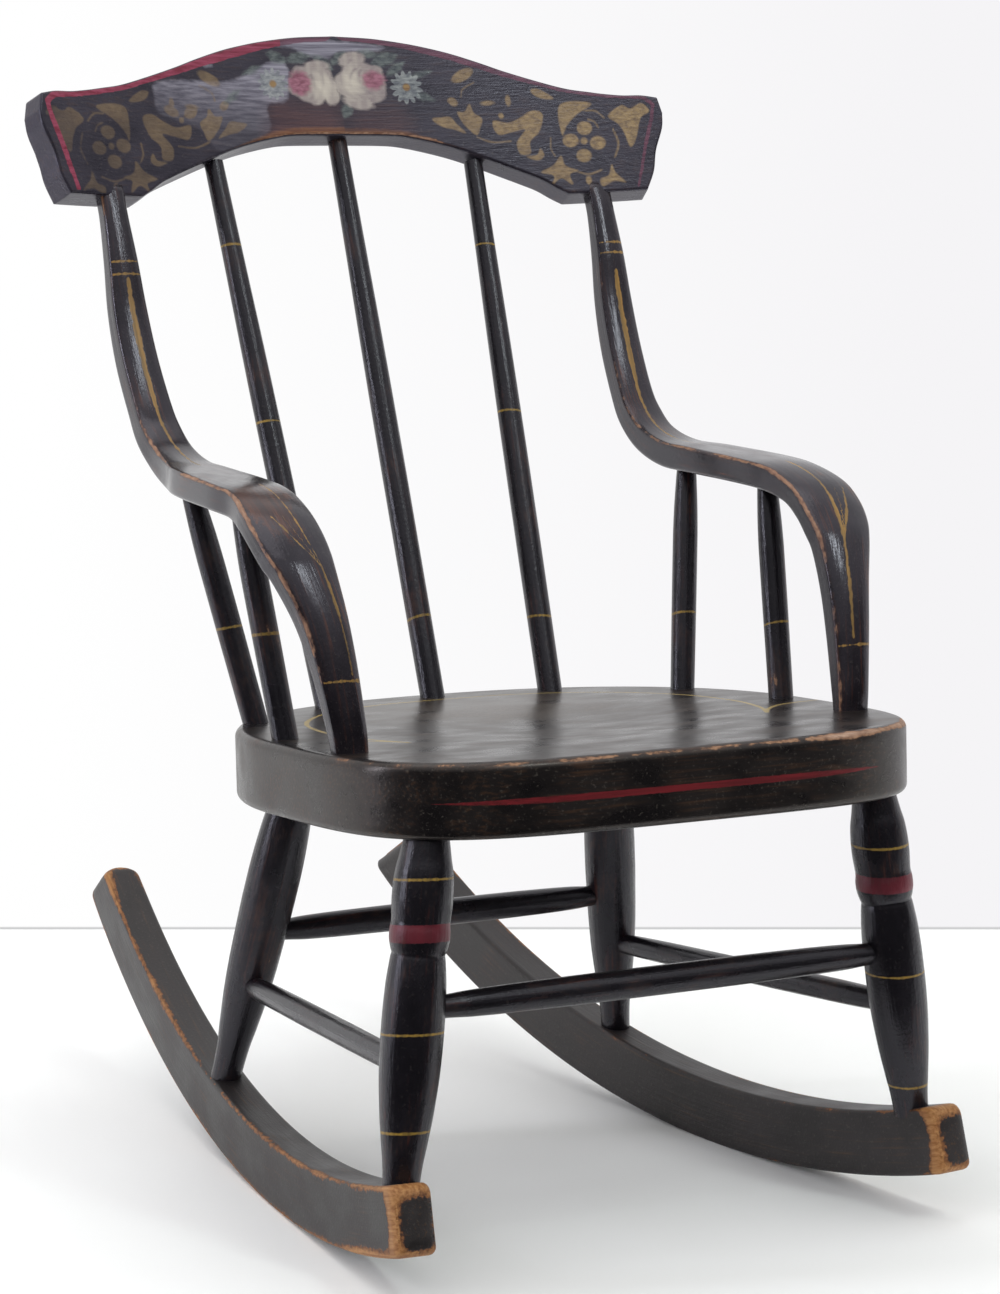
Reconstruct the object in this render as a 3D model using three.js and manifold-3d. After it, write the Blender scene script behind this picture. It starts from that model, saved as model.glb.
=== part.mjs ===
// A child's Boston rocking chair: plank seat, turned legs on sawn rockers, three long back
// spindles under a shaped crest rail, and one-piece sawn arms that run from crest to seat.
// Millimetres, Z up, the sitter faces -Y. It is laid out from the point on the floor that the
// rockers touch, and the finished chair is centred on the floor at the end.

import * as THREE from "three";
import { mergeVertices } from "three/addons/utils/BufferGeometryUtils.js";
import Module from "manifold-3d";

const wasm = await Module();
wasm.setup();

// Joinery that every piece shares
const fitGap = 0.3; // all round a tenon in its socket, and at its shoulder
const cutOverrun = 6; // how far a cutting solid runs past the face that it opens

// Rockers: two sawn planks with a round underside, closer together behind
const rockerRadius = 775;
const rockerDepth = 38.5;
const rockerThickness = 23.5;
const rockerSpacing = 296; // between the centre planes, where they touch the floor
const rockerToeIn = 6; // degrees, each one
const rockerFrontReach = 226; // from the touching point, along the plank
const rockerTailReach = 399; // the same behind, along the underside
const rockerTailTopReach = 361; // and along the top, as the tail is cut on a slope
const rockerEdgeRound = 2;
const rockerTipRound = 9;
const rockerTenonRadius = 5;
const rockerTenonLength = 21;

// Seat: a plank with a square front, a round back and a shallow dish
const seatHeight = 280; // top face above the touching point
const seatTilt = 3; // degrees, lower behind
const seatThickness = 41.5;
const seatWidth = 359;
const seatWidestSet = -48.6; // where it is widest
const seatFrontReach = 169; // from the widest place
const seatRearReach = 171.6;
const seatFrontSquareness = 4; // exponents of the two halves of the outline
const seatRearSquareness = 2.25;
const seatEdgeRound = 5;
const seatDishDepth = 4;
const seatDishWidth = 240;
const seatDishLength = 200;
const seatDishSet = -62;

// Front legs: a vase over a ring, and a long vase that tapers to the foot
const frontFootSpacing = 327;
const frontFootInset = 40; // behind the rockers' front tips
const frontLegTopSpacing = 284;
const frontLegTopSet = -173;
const frontLegRadius = 17;

// Back legs: one plain swell
const rearFootSpacing = 274;
const rearFootSet = 115;
const rearLegTopSpacing = 213;
const rearLegTopSet = 76;
const rearLegRadius = 16;
const legTenonRadius = 9.5;
const legTenonLength = 24;

// Stretchers
const crossStretcherRadius = 8.3;
const sideStretcherRadius = 7.1;
const stretcherEndRadius = 6.2;
const stretcherTenonLength = 10;
const frontStretcherHeight = 155;
const rearStretcherHeight = 140;
const sideStretcherFrontHeight = 124;
const sideStretcherRearHeight = 107;

// Arms: each is sawn from one plank, from the crest down to the elbow, forward, and down again
const armDepth = 323; // from its foot back to the top of its post
const armHeight = 298.6; // from the seat up into the crest
const armFootSet = -124;
const armFootSpacing = 323;
const armBow = 15; // how far the armrest stands out over the foot
const armWidth = 42;
const armSide = 16; // height of its flat sides
const armCrown = 9; // height of its rounded face over them
const armCornerRound = 2.5;
const armFootTenonRadius = 4;
const armPostTenonRadius = 3.5;
const armTenonLength = 20;

// Crest rail: sawn to a curve, with an arched underside and shaped ends
const crestSetback = 29.8; // front face in the middle, behind the tops of the arms
const crestLift = 41.4; // top of the arch, over the seat's and the arm's heights together
const crestRake = 15.7; // degrees
const crestCutAngle = 23.7; // degrees, how steeply its edges are cut down to the back
const crestRadius = 703; // of its front face, seen from above
const crestFootThickness = 20;
const crestTopThickness = 14.7;
const crestWidth = 432;
const crestRise = 64.5; // from the top of the arch to the top edge
const crestDrop = 45; // from the top of the arch to the knees beside it

// Back spindles
const spindleRadius = 7.8;
const backSpindleFootRadius = 7.4;
const backSpindleHeadRadius = 6;
const backSpindleHeadSpacing = 91;
const backSpindleFootSpacing = 76.5;
const outerSpindleFootSet = 93.5;
const middleSpindleFootSet = 104.7;
const crestTenonLength = 13;
const crestSocketShare = 0.6; // of the rail's thickness, from its face, to the middle of a socket
const seatTenonLength = 20;

// Arm spindles
const armSpindleHeadRadius = 5.7;
const armSpindleFootRadius = 7.2;
const armSpindleTenonLength = 9;
const rearArmSpindleFootSpacing = 290;
const rearArmSpindleFootSet = 46;
const frontArmSpindleFootSpacing = 328;
const frontArmSpindleFootSet = -39.5;

const restLean = 0.44; // degrees, forward, at which it comes to rest on its rockers

// Shares of a leg's length from the foot up, and of its largest radius
const frontLegShares = [
  [0, 0.58], [0.06, 0.63], [0.13, 0.74], [0.24, 0.89], [0.35, 0.98], [0.46, 1],
  [0.56, 0.96], [0.635, 0.88], [0.66, 0.85], [0.67, 0.92], [0.695, 0.97], [0.72, 0.92],
  [0.73, 0.86], [0.76, 0.88], [0.81, 0.95], [0.86, 0.92], [0.94, 0.74], [1, 0.64],
];
const rearLegShares = [
  [0, 0.57], [0.1, 0.61], [0.2, 0.74], [0.34, 0.9], [0.52, 0.98], [0.68, 1],
  [0.82, 0.93], [0.92, 0.8], [1, 0.66],
];

// Shares of a long turning's length, and how far it swells from its ends to its full radius
const backSpindleSwellShares = [[0, 0.6], [0.15, 0.9], [0.35, 1], [0.6, 0.7], [0.85, 0.15], [1, 0]];
const armSpindleSwellShares = [[0, 0.5], [0.2, 0.8], [0.5, 1], [0.72, 0.95], [0.9, 0.45], [1, 0]];
const stretcherSwellShares = [
  [0, 0], [0.02, 0.1], [0.09, 0.6], [0.25, 0.92], [0.5, 1], [0.75, 0.92], [0.91, 0.6], [0.98, 0.1], [1, 0],
];

// The arm from its foot to the top of its post. Shares of: bow, depth, height
const armPathShares = [
  [0, 0, 0], [0.06, 0.005, 0.046], [0.28, 0.029, 0.156], [0.5, 0.056, 0.242], [0.8, 0.093, 0.32],
  [0.93, 0.121, 0.357], [1, 0.159, 0.394], [1, 0.209, 0.427], [0.87, 0.285, 0.4525], [0.83, 0.384, 0.4625],
  [0.65, 0.57, 0.471], [0.4, 0.6625, 0.476], [0.3, 0.74, 0.4975], [0.32, 0.796, 0.5345],
  [0.35, 0.831, 0.578], [0.44, 0.882, 0.67], [0.5, 0.921, 0.766], [0.53, 0.949, 0.863],
  [0.55, 0.981, 0.953], [0.55, 1, 1],
];
// At the same places, shares of: width, side, crown
const armSectionShares = [
  [0.48, 0.55, 0.3], [0.5, 0.65, 0.4], [0.58, 0.76, 0.45], [0.67, 0.8, 0.45], [0.83, 0.8, 0.45],
  [0.94, 0.78, 0.42], [0.98, 0.77, 0.38], [0.96, 0.82, 0.3], [0.9, 0.93, 0.2], [0.94, 0.96, 0.12],
  [0.83, 1, 0.1], [0.67, 1, 0.1], [0.6, 0.98, 0.12], [0.6, 0.95, 0.15],
  [0.57, 0.93, 0.2], [0.55, 0.94, 0.28], [0.52, 0.85, 0.3], [0.45, 0.77, 0.3],
  [0.38, 0.7, 0.25], [0.38, 0.7, 0.2],
];
const rearArmSpindleShare = 0.562; // of the way along the arm
const frontArmSpindleShare = 0.467;
const postTenonShare = 0.66; // of the side's height, from the face, to the middle of the upper tenon
const footTenonShare = 0.5;
// The arm's rounded face: shares of half the width, and of the crown
const armFaceShares = [[0.72, 0.55], [0.38, 0.9], [0, 1], [-0.38, 0.9], [-0.72, 0.55]];

// Crest outline, right half. Shares of half the width, and of the rise or the drop
const crestTopShares = [
  [0.991, 0.181], [0.94, 0.224], [0.88, 0.246], [0.819, 0.284], [0.773, 0.319], [0.708, 0.37],
  [0.63, 0.46], [0.519, 0.601], [0.454, 0.692], [0.375, 0.792], [0.31, 0.858], [0.227, 0.923],
  [0.12, 0.978], [0, 1],
];
const crestArchShares = [
  [0, 0.002], [0.144, 0.017], [0.211, 0.06], [0.292, 0.16], [0.356, 0.261], [0.421, 0.391],
  [0.486, 0.532], [0.551, 0.678], [0.593, 0.781], [0.63, 0.905], [0.664, 1.007],
];
const crestEndShares = [
  [0.912, 1.068], [0.942, 0.803], [0.96, 0.506], [0.991, 0.194], [1, -0.02],
];

// Numbers of faces
const legSides = 18;
const spindleSides = 14;
const arcSteps = 26;
const cornerSteps = 3;
const armSteps = 36;
const seatSteps = 48;
const dishSides = 28;
const dishRings = 5;
const crestSteps = 24;
const crestEndSteps = 5;
const bevelSteps = 2;

const up = new THREE.Vector3(0, 1, 0); // a turning's own axis
const sides = { left: -1, right: 1 };

function radians(degrees) {
  return THREE.MathUtils.degToRad(degrees);
}

// A closed geometry becomes a solid that can be joined and cut
function solidOf(geometry) {
  const bare = geometry.clone();
  bare.deleteAttribute("normal");
  bare.deleteAttribute("uv");
  const merged = mergeVertices(bare, fitGap / 100);
  return new wasm.Manifold(new wasm.Mesh({
    numProp: 3,
    vertProperties: new Float32Array(merged.attributes.position.array),
    triVerts: new Uint32Array(merged.index.array),
  }));
}

function geometryOf(solid) {
  const mesh = solid.getMesh();
  const geometry = new THREE.BufferGeometry();
  geometry.setAttribute("position", new THREE.BufferAttribute(new Float32Array(mesh.vertProperties), 3));
  geometry.setIndex(new THREE.BufferAttribute(new Uint32Array(mesh.triVerts), 1));
  geometry.computeVertexNormals();
  return geometry;
}

// Paint colours, as the dark ground shows on each kind of piece
const paint = {
  rail: { color: 0x2a201d, roughness: 0.42 },
  arm: { color: 0x252020, roughness: 0.3 },
  turning: { color: 0x1e1b1c, roughness: 0.33 },
  seat: { color: 0x35302e, roughness: 0.38 },
  rocker: { color: 0x2b2625, roughness: 0.5 },
};

function piece(name, solid, look) {
  const material = new THREE.MeshStandardMaterial({ ...look, metalness: 0 });
  const mesh = new THREE.Mesh(geometryOf(solid), material);
  mesh.name = name;
  return mesh;
}

// A turning: rows of [distance, radius] from one end of its axis to the other
function turning(rows, from, to, sideCount) {
  const outline = rows.map(([distance, radius]) => new THREE.Vector2(radius, distance));
  outline.unshift(new THREE.Vector2(0, rows[0][0]));
  outline.push(new THREE.Vector2(0, rows[rows.length - 1][0]));
  const geometry = new THREE.LatheGeometry(outline, sideCount);
  const direction = to.clone().sub(from).normalize();
  geometry.applyQuaternion(new THREE.Quaternion().setFromUnitVectors(up, direction));
  geometry.translate(from.x, from.y, from.z);
  return solidOf(geometry);
}

function along(from, to, distance) {
  return to.clone().sub(from).setLength(distance).add(from);
}

// A round bar from one point to another, for tenons and for cutting their sockets
function bar(from, to, radius, sideCount) {
  return turning([[0, radius], [from.distanceTo(to), radius]], from, to, sideCount);
}

// The socket of a tenon that ends at tip, opened past the face that it enters by
function socket(tip, back, radius, depth, sideCount) {
  const bottom = along(tip, back, -fitGap);
  const mouth = along(tip, back, depth + cutOverrun);
  return bar(bottom, mouth, radius + fitGap, sideCount);
}

// A smooth profile through rows of shares
function smoothRows(shares, stepsEach) {
  const curve = new THREE.SplineCurve(shares.map(([x, y]) => new THREE.Vector2(x, y)));
  return curve.getPoints((shares.length - 1) * stepsEach).map((point) => [point.x, point.y]);
}

function shareAt(shares, place) {
  const next = shares.findIndex(([x]) => x >= place);
  const [x1, y1] = shares[Math.max(next, 1)];
  const [x0, y0] = shares[Math.max(next, 1) - 1];
  return y0 + (y1 - y0) * (place - x0) / (x1 - x0);
}

// Rockers

function rockerArc(radius, from, to) {
  const points = [];
  for (let i = 0; i <= arcSteps; i += 1) {
    points.push(rockerCorner(radius, from + (to - from) * i / arcSteps));
  }
  return points;
}

function rockerCorner(radius, angle) {
  return new THREE.Vector2(radius * Math.sin(angle), rockerRadius - radius * Math.cos(angle));
}

// A point a short way from one point toward another
function toward(from, to, distance) {
  return to.clone().sub(from).setLength(distance).add(from);
}

function roundedCorner(before, corner, after) {
  return new THREE.QuadraticBezierCurve(before, corner, after).getPoints(cornerSteps);
}

// The plank, standing over the touching point. A raised copy cuts the feet of the legs to fit it
function rockerPlank(side, raise, thickness) {
  const topRadius = rockerRadius - rockerDepth - raise;
  const front = -Math.asin(rockerFrontReach / rockerRadius);
  const tailLow = Math.asin(rockerTailReach / rockerRadius);
  const tailHigh = Math.asin(rockerTailTopReach / topRadius);
  const turn = rockerTipRound / rockerRadius;
  const underside = rockerArc(rockerRadius, front + turn, tailLow - turn);
  const top = rockerArc(topRadius, tailHigh - turn, front + turn);
  const rearLow = rockerCorner(rockerRadius, tailLow);
  const rearHigh = rockerCorner(topRadius, tailHigh);
  const frontLow = rockerCorner(rockerRadius, front);
  const frontHigh = rockerCorner(topRadius, front);
  const outline = [
    ...underside.slice(0, -1),
    ...roundedCorner(underside[arcSteps], rearLow, toward(rearLow, rearHigh, rockerTipRound)),
    ...roundedCorner(toward(rearHigh, rearLow, rockerTipRound), rearHigh, top[0]),
    ...top.slice(1, -1),
    ...roundedCorner(top[arcSteps], frontHigh, toward(frontHigh, frontLow, rockerTipRound)),
    ...roundedCorner(toward(frontLow, frontHigh, rockerTipRound), frontLow, underside[0]).slice(0, -1),
  ];
  const geometry = new THREE.ExtrudeGeometry(new THREE.Shape(outline), {
    depth: thickness - 2 * rockerEdgeRound,
    bevelThickness: rockerEdgeRound,
    bevelSize: rockerEdgeRound,
    bevelOffset: -rockerEdgeRound,
    bevelSegments: 1,
  });
  geometry.translate(0, 0, rockerEdgeRound - thickness / 2);
  const upright = new THREE.Matrix4().makeBasis(
    new THREE.Vector3(0, 1, 0), new THREE.Vector3(0, 0, 1), new THREE.Vector3(1, 0, 0),
  );
  geometry.applyMatrix4(upright);
  geometry.rotateZ(side * radians(rockerToeIn));
  geometry.translate(side * rockerSpacing / 2, 0, 0);
  return solidOf(geometry);
}

// Where a leg stands on the top edge of a rocker
function footPoint(side, spacing, set) {
  const along = set / Math.cos(radians(rockerToeIn));
  const topRadius = rockerRadius - rockerDepth;
  return new THREE.Vector3(side * spacing / 2, set, rockerRadius - Math.sqrt(topRadius ** 2 - along ** 2));
}

// Seat

const seatPlace = new THREE.Matrix4().makeTranslation(0, 0, seatHeight)
  .multiply(new THREE.Matrix4().makeRotationX(-radians(seatTilt)));

// A point of the seat, measured down from its top face
function seatPoint(x, y, below) {
  return new THREE.Vector3(x, y, -below).applyMatrix4(seatPlace);
}

function seatOutline() {
  const points = [];
  for (let i = 0; i < seatSteps; i += 1) {
    const angle = 2 * Math.PI * i / seatSteps;
    const rear = Math.sin(angle) >= 0;
    const power = 2 / (rear ? seatRearSquareness : seatFrontSquareness);
    const reach = rear ? seatRearReach : seatFrontReach;
    points.push(new THREE.Vector2(
      Math.sign(Math.cos(angle)) * Math.abs(Math.cos(angle)) ** power * seatWidth / 2,
      seatWidestSet + Math.sign(Math.sin(angle)) * Math.abs(Math.sin(angle)) ** power * reach,
    ));
  }
  return points;
}

// The plank before it is dished and bored. A thicker copy trims the arms and legs that meet it
function seatPlank(gap) {
  const geometry = new THREE.ExtrudeGeometry(new THREE.Shape(seatOutline()), {
    depth: seatThickness + 2 * (gap - seatEdgeRound),
    bevelThickness: seatEdgeRound,
    bevelSize: seatEdgeRound,
    bevelOffset: -seatEdgeRound,
    bevelSegments: bevelSteps,
  });
  geometry.translate(0, 0, seatEdgeRound - seatThickness - gap);
  geometry.applyMatrix4(seatPlace);
  return solidOf(geometry);
}

// The dish is the bottom of a wide shallow bowl
function seatDish() {
  const outline = [];
  for (let i = 0; i <= dishRings; i += 1) {
    const out = i / dishRings;
    outline.push(new THREE.Vector2(out, (1 - out * out) ** 2 * -seatDishDepth));
  }
  outline.push(new THREE.Vector2(1, cutOverrun));
  outline.push(new THREE.Vector2(0, cutOverrun));
  const geometry = new THREE.LatheGeometry(outline, dishSides);
  geometry.rotateX(Math.PI / 2);
  geometry.scale(seatDishWidth / 2, seatDishLength / 2, 1);
  geometry.translate(0, seatDishSet, 0);
  geometry.applyMatrix4(seatPlace);
  return solidOf(geometry);
}

// Legs

function legAxis(side, kind) {
  const front = kind === "front";
  const foot = front
    ? footPoint(side, frontFootSpacing, frontFootInset - rockerFrontReach)
    : footPoint(side, rearFootSpacing, rearFootSet);
  const spacing = front ? frontLegTopSpacing : rearLegTopSpacing;
  const set = front ? frontLegTopSet : rearLegTopSet;
  return { foot, top: seatPoint(side * spacing / 2, set, seatThickness) };
}

function legLook(kind) {
  const front = kind === "front";
  return { shares: front ? frontLegShares : rearLegShares, radius: front ? frontLegRadius : rearLegRadius };
}

function leg(side, kind) {
  const { foot, top } = legAxis(side, kind);
  const { shares, radius } = legLook(kind);
  const length = foot.distanceTo(top);
  const body = shares.map(([place, size]) => [place * length, size * radius]);
  // The turned shape runs past both shoulders, which are then trimmed to the rocker and the seat
  body.unshift([-cutOverrun, body[0][1]]);
  body.push([length + cutOverrun, body.at(-1)[1]]);
  const trimmed = turning(body, foot, top, legSides)
    .subtract(rockerPlank(side, fitGap, 4 * rockerThickness))
    .subtract(seatPlank(fitGap));
  const rockerTip = along(foot, top, -rockerTenonLength);
  const seatTip = along(top, foot, -legTenonLength);
  return trimmed
    .add(bar(rockerTip, along(foot, top, rockerTenonLength), rockerTenonRadius, spindleSides))
    .add(bar(along(top, foot, legTenonLength), seatTip, legTenonRadius, legSides));
}

// The point of a leg's axis at a height above the floor, and the leg's radius there
function legAt(side, kind, height) {
  const { foot, top } = legAxis(side, kind);
  const { shares, radius } = legLook(kind);
  const place = (height - foot.z) / (top.z - foot.z);
  return { point: foot.clone().lerp(top, place), radius: shareAt(shares, place) * radius };
}

// Stretchers

const stretchers = {
  front_stretcher: {
    ends: [["left", "front"], ["right", "front"]],
    heights: [frontStretcherHeight, frontStretcherHeight],
    radius: crossStretcherRadius,
  },
  rear_stretcher: {
    ends: [["left", "rear"], ["right", "rear"]],
    heights: [rearStretcherHeight, rearStretcherHeight],
    radius: crossStretcherRadius,
  },
  side_stretcher_left: {
    ends: [["left", "front"], ["left", "rear"]],
    heights: [sideStretcherFrontHeight, sideStretcherRearHeight],
    radius: sideStretcherRadius,
  },
  side_stretcher_right: {
    ends: [["right", "front"], ["right", "rear"]],
    heights: [sideStretcherFrontHeight, sideStretcherRearHeight],
    radius: sideStretcherRadius,
  },
};

// The two tips of a stretcher lie inside the legs, a tenon's length past their surface
function stretcherTips({ ends, heights }) {
  const seats = ends.map(([side, kind], i) => legAt(sides[side], kind, heights[i]));
  const [a, b] = seats.map((seat) => seat.point);
  const from = along(a, b, seats[0].radius - stretcherTenonLength);
  const to = along(b, a, seats[1].radius - stretcherTenonLength);
  return [from, to];
}

function stretcher(spec) {
  const [from, to] = stretcherTips(spec);
  const length = from.distanceTo(to);
  const visible = length - 2 * stretcherTenonLength;
  const rows = stretcherSwellShares.map(([place, swell]) => [
    stretcherTenonLength + place * visible,
    stretcherEndRadius + swell * (spec.radius - stretcherEndRadius),
  ]);
  return turning([[0, stretcherEndRadius], ...rows, [length, stretcherEndRadius]], from, to, spindleSides);
}

// The sockets that the stretchers need in one leg
function stretcherSockets(sideName, kind) {
  const cuts = [];
  for (const spec of Object.values(stretchers)) {
    const tips = stretcherTips(spec);
    spec.ends.forEach(([side, end], i) => {
      if (side === sideName && end === kind) {
        cuts.push(socket(tips[i], tips[1 - i], stretcherEndRadius, stretcherTenonLength, spindleSides));
      }
    });
  }
  return cuts;
}

// Arms

const armPath = new THREE.CatmullRomCurve3(
  armPathShares.map(([bow, depth, height]) => new THREE.Vector3(
    armFootSpacing / 2 + bow * armBow, armFootSet + depth * armDepth, height * armHeight,
  )),
  false, "catmullrom",
);
const armSection = new THREE.CatmullRomCurve3(
  armSectionShares.map(([width, side, crown]) => new THREE.Vector3(
    width * armWidth, side * armSide, crown * armCrown,
  )),
  false, "catmullrom",
);

// One place along the arm: the edge of its flat side, which way the face points, and its section
function armStation(side, place) {
  const edge = armPath.getPoint(place);
  const ahead = armPath.getPoint(Math.min(place + 1 / armSteps, 1));
  const behind = armPath.getPoint(Math.max(place - 1 / armSteps, 0));
  const run = new THREE.Vector2(ahead.y - behind.y, ahead.z - behind.z).normalize();
  const section = armSection.getPoint(place);
  const lift = seatPoint(0, armFootSet, 0).z;
  return {
    edge: new THREE.Vector3(side * edge.x, edge.y, edge.z + lift),
    face: new THREE.Vector3(0, -run.y, run.x),
    width: section.x,
    side: section.y,
    crown: section.z,
  };
}

function armRing(station) {
  const { edge, face, width, side, crown } = station;
  const half = width / 2;
  const low = [
    [-half, 0],
    [-half, armCornerRound - side],
    [armCornerRound - half, -side],
    [half - armCornerRound, -side],
    [half, armCornerRound - side],
    [half, 0],
  ];
  const high = armFaceShares.map(([out, rise]) => [out * half, rise * crown]);
  return [...low, ...high].map(([across, rise]) => new THREE.Vector3(edge.x + across, edge.y, edge.z)
    .addScaledVector(face, rise));
}

// A closed skin over rings of equal count
function loft(rings) {
  const count = rings[0].length;
  const points = rings.flat();
  const faces = [];
  for (let i = 0; i + 1 < rings.length; i += 1) {
    for (let j = 0; j < count; j += 1) {
      const a = i * count + j;
      const b = i * count + (j + 1) % count;
      faces.push(a, b + count, b, a, a + count, b + count);
    }
  }
  for (const [ring, first, flip] of [[rings[0], 0, false], [rings.at(-1), points.length - count, true]]) {
    const middle = ring.reduce((sum, point) => sum.add(point), new THREE.Vector3()).divideScalar(count);
    points.push(middle);
    for (let j = 0; j < count; j += 1) {
      const edge = [first + j, first + (j + 1) % count];
      faces.push(points.length - 1, ...(flip ? edge.reverse() : edge));
    }
  }
  const geometry = new THREE.BufferGeometry().setFromPoints(points);
  geometry.setIndex(faces);
  return solidOf(geometry);
}

// The middle of the arm's section, pushed along the arm by a tenon
function armTenon(side, end) {
  const atFoot = end === "foot";
  const near = armStation(side, atFoot ? 0 : 1);
  const next = armStation(side, atFoot ? 1 / armSteps : 1 - 1 / armSteps);
  const depthShare = atFoot ? footTenonShare : postTenonShare;
  const centre = near.edge.clone().addScaledVector(near.face, -near.side * depthShare);
  const inner = next.edge.clone().addScaledVector(next.face, -next.side * depthShare);
  const radius = atFoot ? armFootTenonRadius : armPostTenonRadius;
  return { tip: along(centre, inner, -armTenonLength), inner, radius };
}

function arm(side) {
  const rings = [];
  for (let i = 0; i <= armSteps; i += 1) {
    rings.push(armRing(armStation(side, i / armSteps)));
  }
  // Past both ends the section runs on, and is trimmed to the seat and to the crest rail
  for (const [end, step] of [[0, -1], [armSteps, 1]]) {
    const { tip, inner } = armTenon(side, end === 0 ? "foot" : "post");
    const push = tip.clone().sub(inner).setLength(cutOverrun);
    const ring = rings[step < 0 ? 0 : rings.length - 1].map((point) => point.clone().add(push));
    if (step < 0) {
      rings.unshift(ring);
    } else {
      rings.push(ring);
    }
  }
  let solid = loft(rings).subtract(seatPlank(fitGap)).subtract(crestBlank(fitGap));
  for (const end of ["foot", "post"]) {
    const { tip, inner, radius } = armTenon(side, end);
    solid = solid.add(bar(tip, inner, radius, spindleSides));
  }
  return solid;
}

// The middle of the arm's underside, where an arm spindle enters
function armUnderside(side, place) {
  const station = armStation(side, place);
  return station.edge.clone().addScaledVector(station.face, -station.side);
}

// Crest rail, in its own upright frame: X across, Y into its thickness, Z up its face

function crestFrame(lean) {
  const set = armFootSet + armDepth + crestSetback;
  const height = seatHeight + armHeight + crestLift;
  return new THREE.Matrix4().makeTranslation(0, set, height)
    .multiply(new THREE.Matrix4().makeRotationX(-radians(lean)));
}

const crestPlace = crestFrame(crestRake);
const crestCutPlace = crestFrame(crestCutAngle);

function crestCurve(shares, rise) {
  const right = shares.map(([x, z]) => new THREE.Vector2(x * crestWidth / 2, z * rise));
  return new THREE.SplineCurve(right);
}

const crestArch = crestCurve(crestArchShares, -crestDrop);

function crestOutline() {
  const topHalf = crestCurve(crestTopShares, crestRise).getPoints(crestSteps / 2);
  const archHalf = crestArch.getPoints(crestSteps / 2);
  const end = crestCurve(crestEndShares, -crestDrop).getPoints(crestEndSteps);
  const right = [...archHalf, ...end, ...topHalf];
  const left = right.slice(1, -1).reverse().map((point) => new THREE.Vector2(-point.x, point.y));
  return [...right, ...left];
}

// The rail's ends are cut square to its curve, so that it is a little wider behind
function flareEnds(geometry) {
  const hollow = crestRadius - Math.sqrt(crestRadius ** 2 - (crestWidth / 2) ** 2);
  const spots = geometry.attributes.position;
  for (let i = 0; i < spots.count; i += 1) {
    spots.setX(i, spots.getX(i) * (1 + (spots.getY(i) + hollow) / crestRadius));
  }
}

// Everything inside the outline, front to back. A lowered copy trims the tops of the arms
function crestBlank(lower) {
  const depth = crestRadius / 2;
  const geometry = new THREE.ExtrudeGeometry(new THREE.Shape(crestOutline()), { depth, bevelEnabled: false });
  const upright = new THREE.Matrix4().makeBasis(
    new THREE.Vector3(1, 0, 0), new THREE.Vector3(0, 0, 1), new THREE.Vector3(0, -1, 0),
  );
  geometry.applyMatrix4(upright);
  geometry.translate(0, depth / 2, -lower);
  flareEnds(geometry);
  geometry.applyMatrix4(crestCutPlace);
  return solidOf(geometry);
}

// A level cut through the plank that the rail is sawn from: two round faces, hollow to the front
function crestBand(thickness, height) {
  const half = Math.asin(crestWidth / crestRadius / 1.9);
  const points = [];
  for (const [radius, from, to] of [
    [crestRadius + thickness, -half, half],
    [crestRadius, half, -half],
  ]) {
    for (let i = 0; i <= crestSteps; i += 1) {
      const angle = from + (to - from) * i / crestSteps;
      const point = new THREE.Vector3(-radius * Math.sin(angle), radius * Math.cos(angle) - crestRadius, height);
      points.push(point.applyMatrix4(crestPlace));
    }
  }
  return points;
}

// The plank is thinner toward its top
function crestThickness(height) {
  const share = (height + crestDrop) / (crestDrop + crestRise);
  return THREE.MathUtils.lerp(crestFootThickness, crestTopThickness, share);
}

function crestPlank() {
  const low = -2 * crestDrop;
  const high = 2 * crestRise;
  return loft([crestBand(crestThickness(high), high), crestBand(crestThickness(low), low)]);
}

// The middle of the rail's underside at a distance from its centre
function crestUnderside(x) {
  const points = crestArch.getPoints(crestSteps);
  const place = points.findIndex((point) => point.x >= Math.abs(x));
  const hollow = (crestRadius - Math.sqrt(crestRadius ** 2 - x ** 2)) / Math.cos(radians(crestRake));
  const depth = crestFootThickness * crestSocketShare - hollow;
  return new THREE.Vector3(x, depth, points[place].y).applyMatrix4(crestCutPlace);
}

// Spindles: each has a foot on the seat and a head under an arm or the crest rail

function spindle(spec) {
  const { foot, head, footRadius, headRadius, swellShares, headTenon } = spec;
  const tip = along(foot, head, -seatTenonLength);
  const end = along(head, foot, -headTenon);
  const visible = foot.distanceTo(head);
  const rows = smoothRows(swellShares, 2).map(([place, swell]) => {
    const plain = THREE.MathUtils.lerp(footRadius, headRadius, place);
    return [seatTenonLength + place * visible, plain + swell * (spindleRadius - plain)];
  });
  rows[0][1] = footRadius;
  rows[rows.length - 1][1] = headRadius;
  const length = tip.distanceTo(end);
  return turning([[0, footRadius], ...rows, [length, headRadius]], tip, end, spindleSides);
}

function spindleSockets({ foot, head, footRadius, headRadius, headTenon }) {
  const tip = along(foot, head, -seatTenonLength);
  const end = along(head, foot, -headTenon);
  return {
    seat: socket(tip, end, footRadius, seatTenonLength, spindleSides),
    head: socket(end, tip, headRadius, headTenon, spindleSides),
  };
}

function backSpindle(across, footSet) {
  return {
    foot: seatPoint(across * backSpindleFootSpacing, footSet, 0),
    head: crestUnderside(across * backSpindleHeadSpacing),
    footRadius: backSpindleFootRadius,
    headRadius: backSpindleHeadRadius,
    swellShares: backSpindleSwellShares,
    headTenon: crestTenonLength,
  };
}

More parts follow.
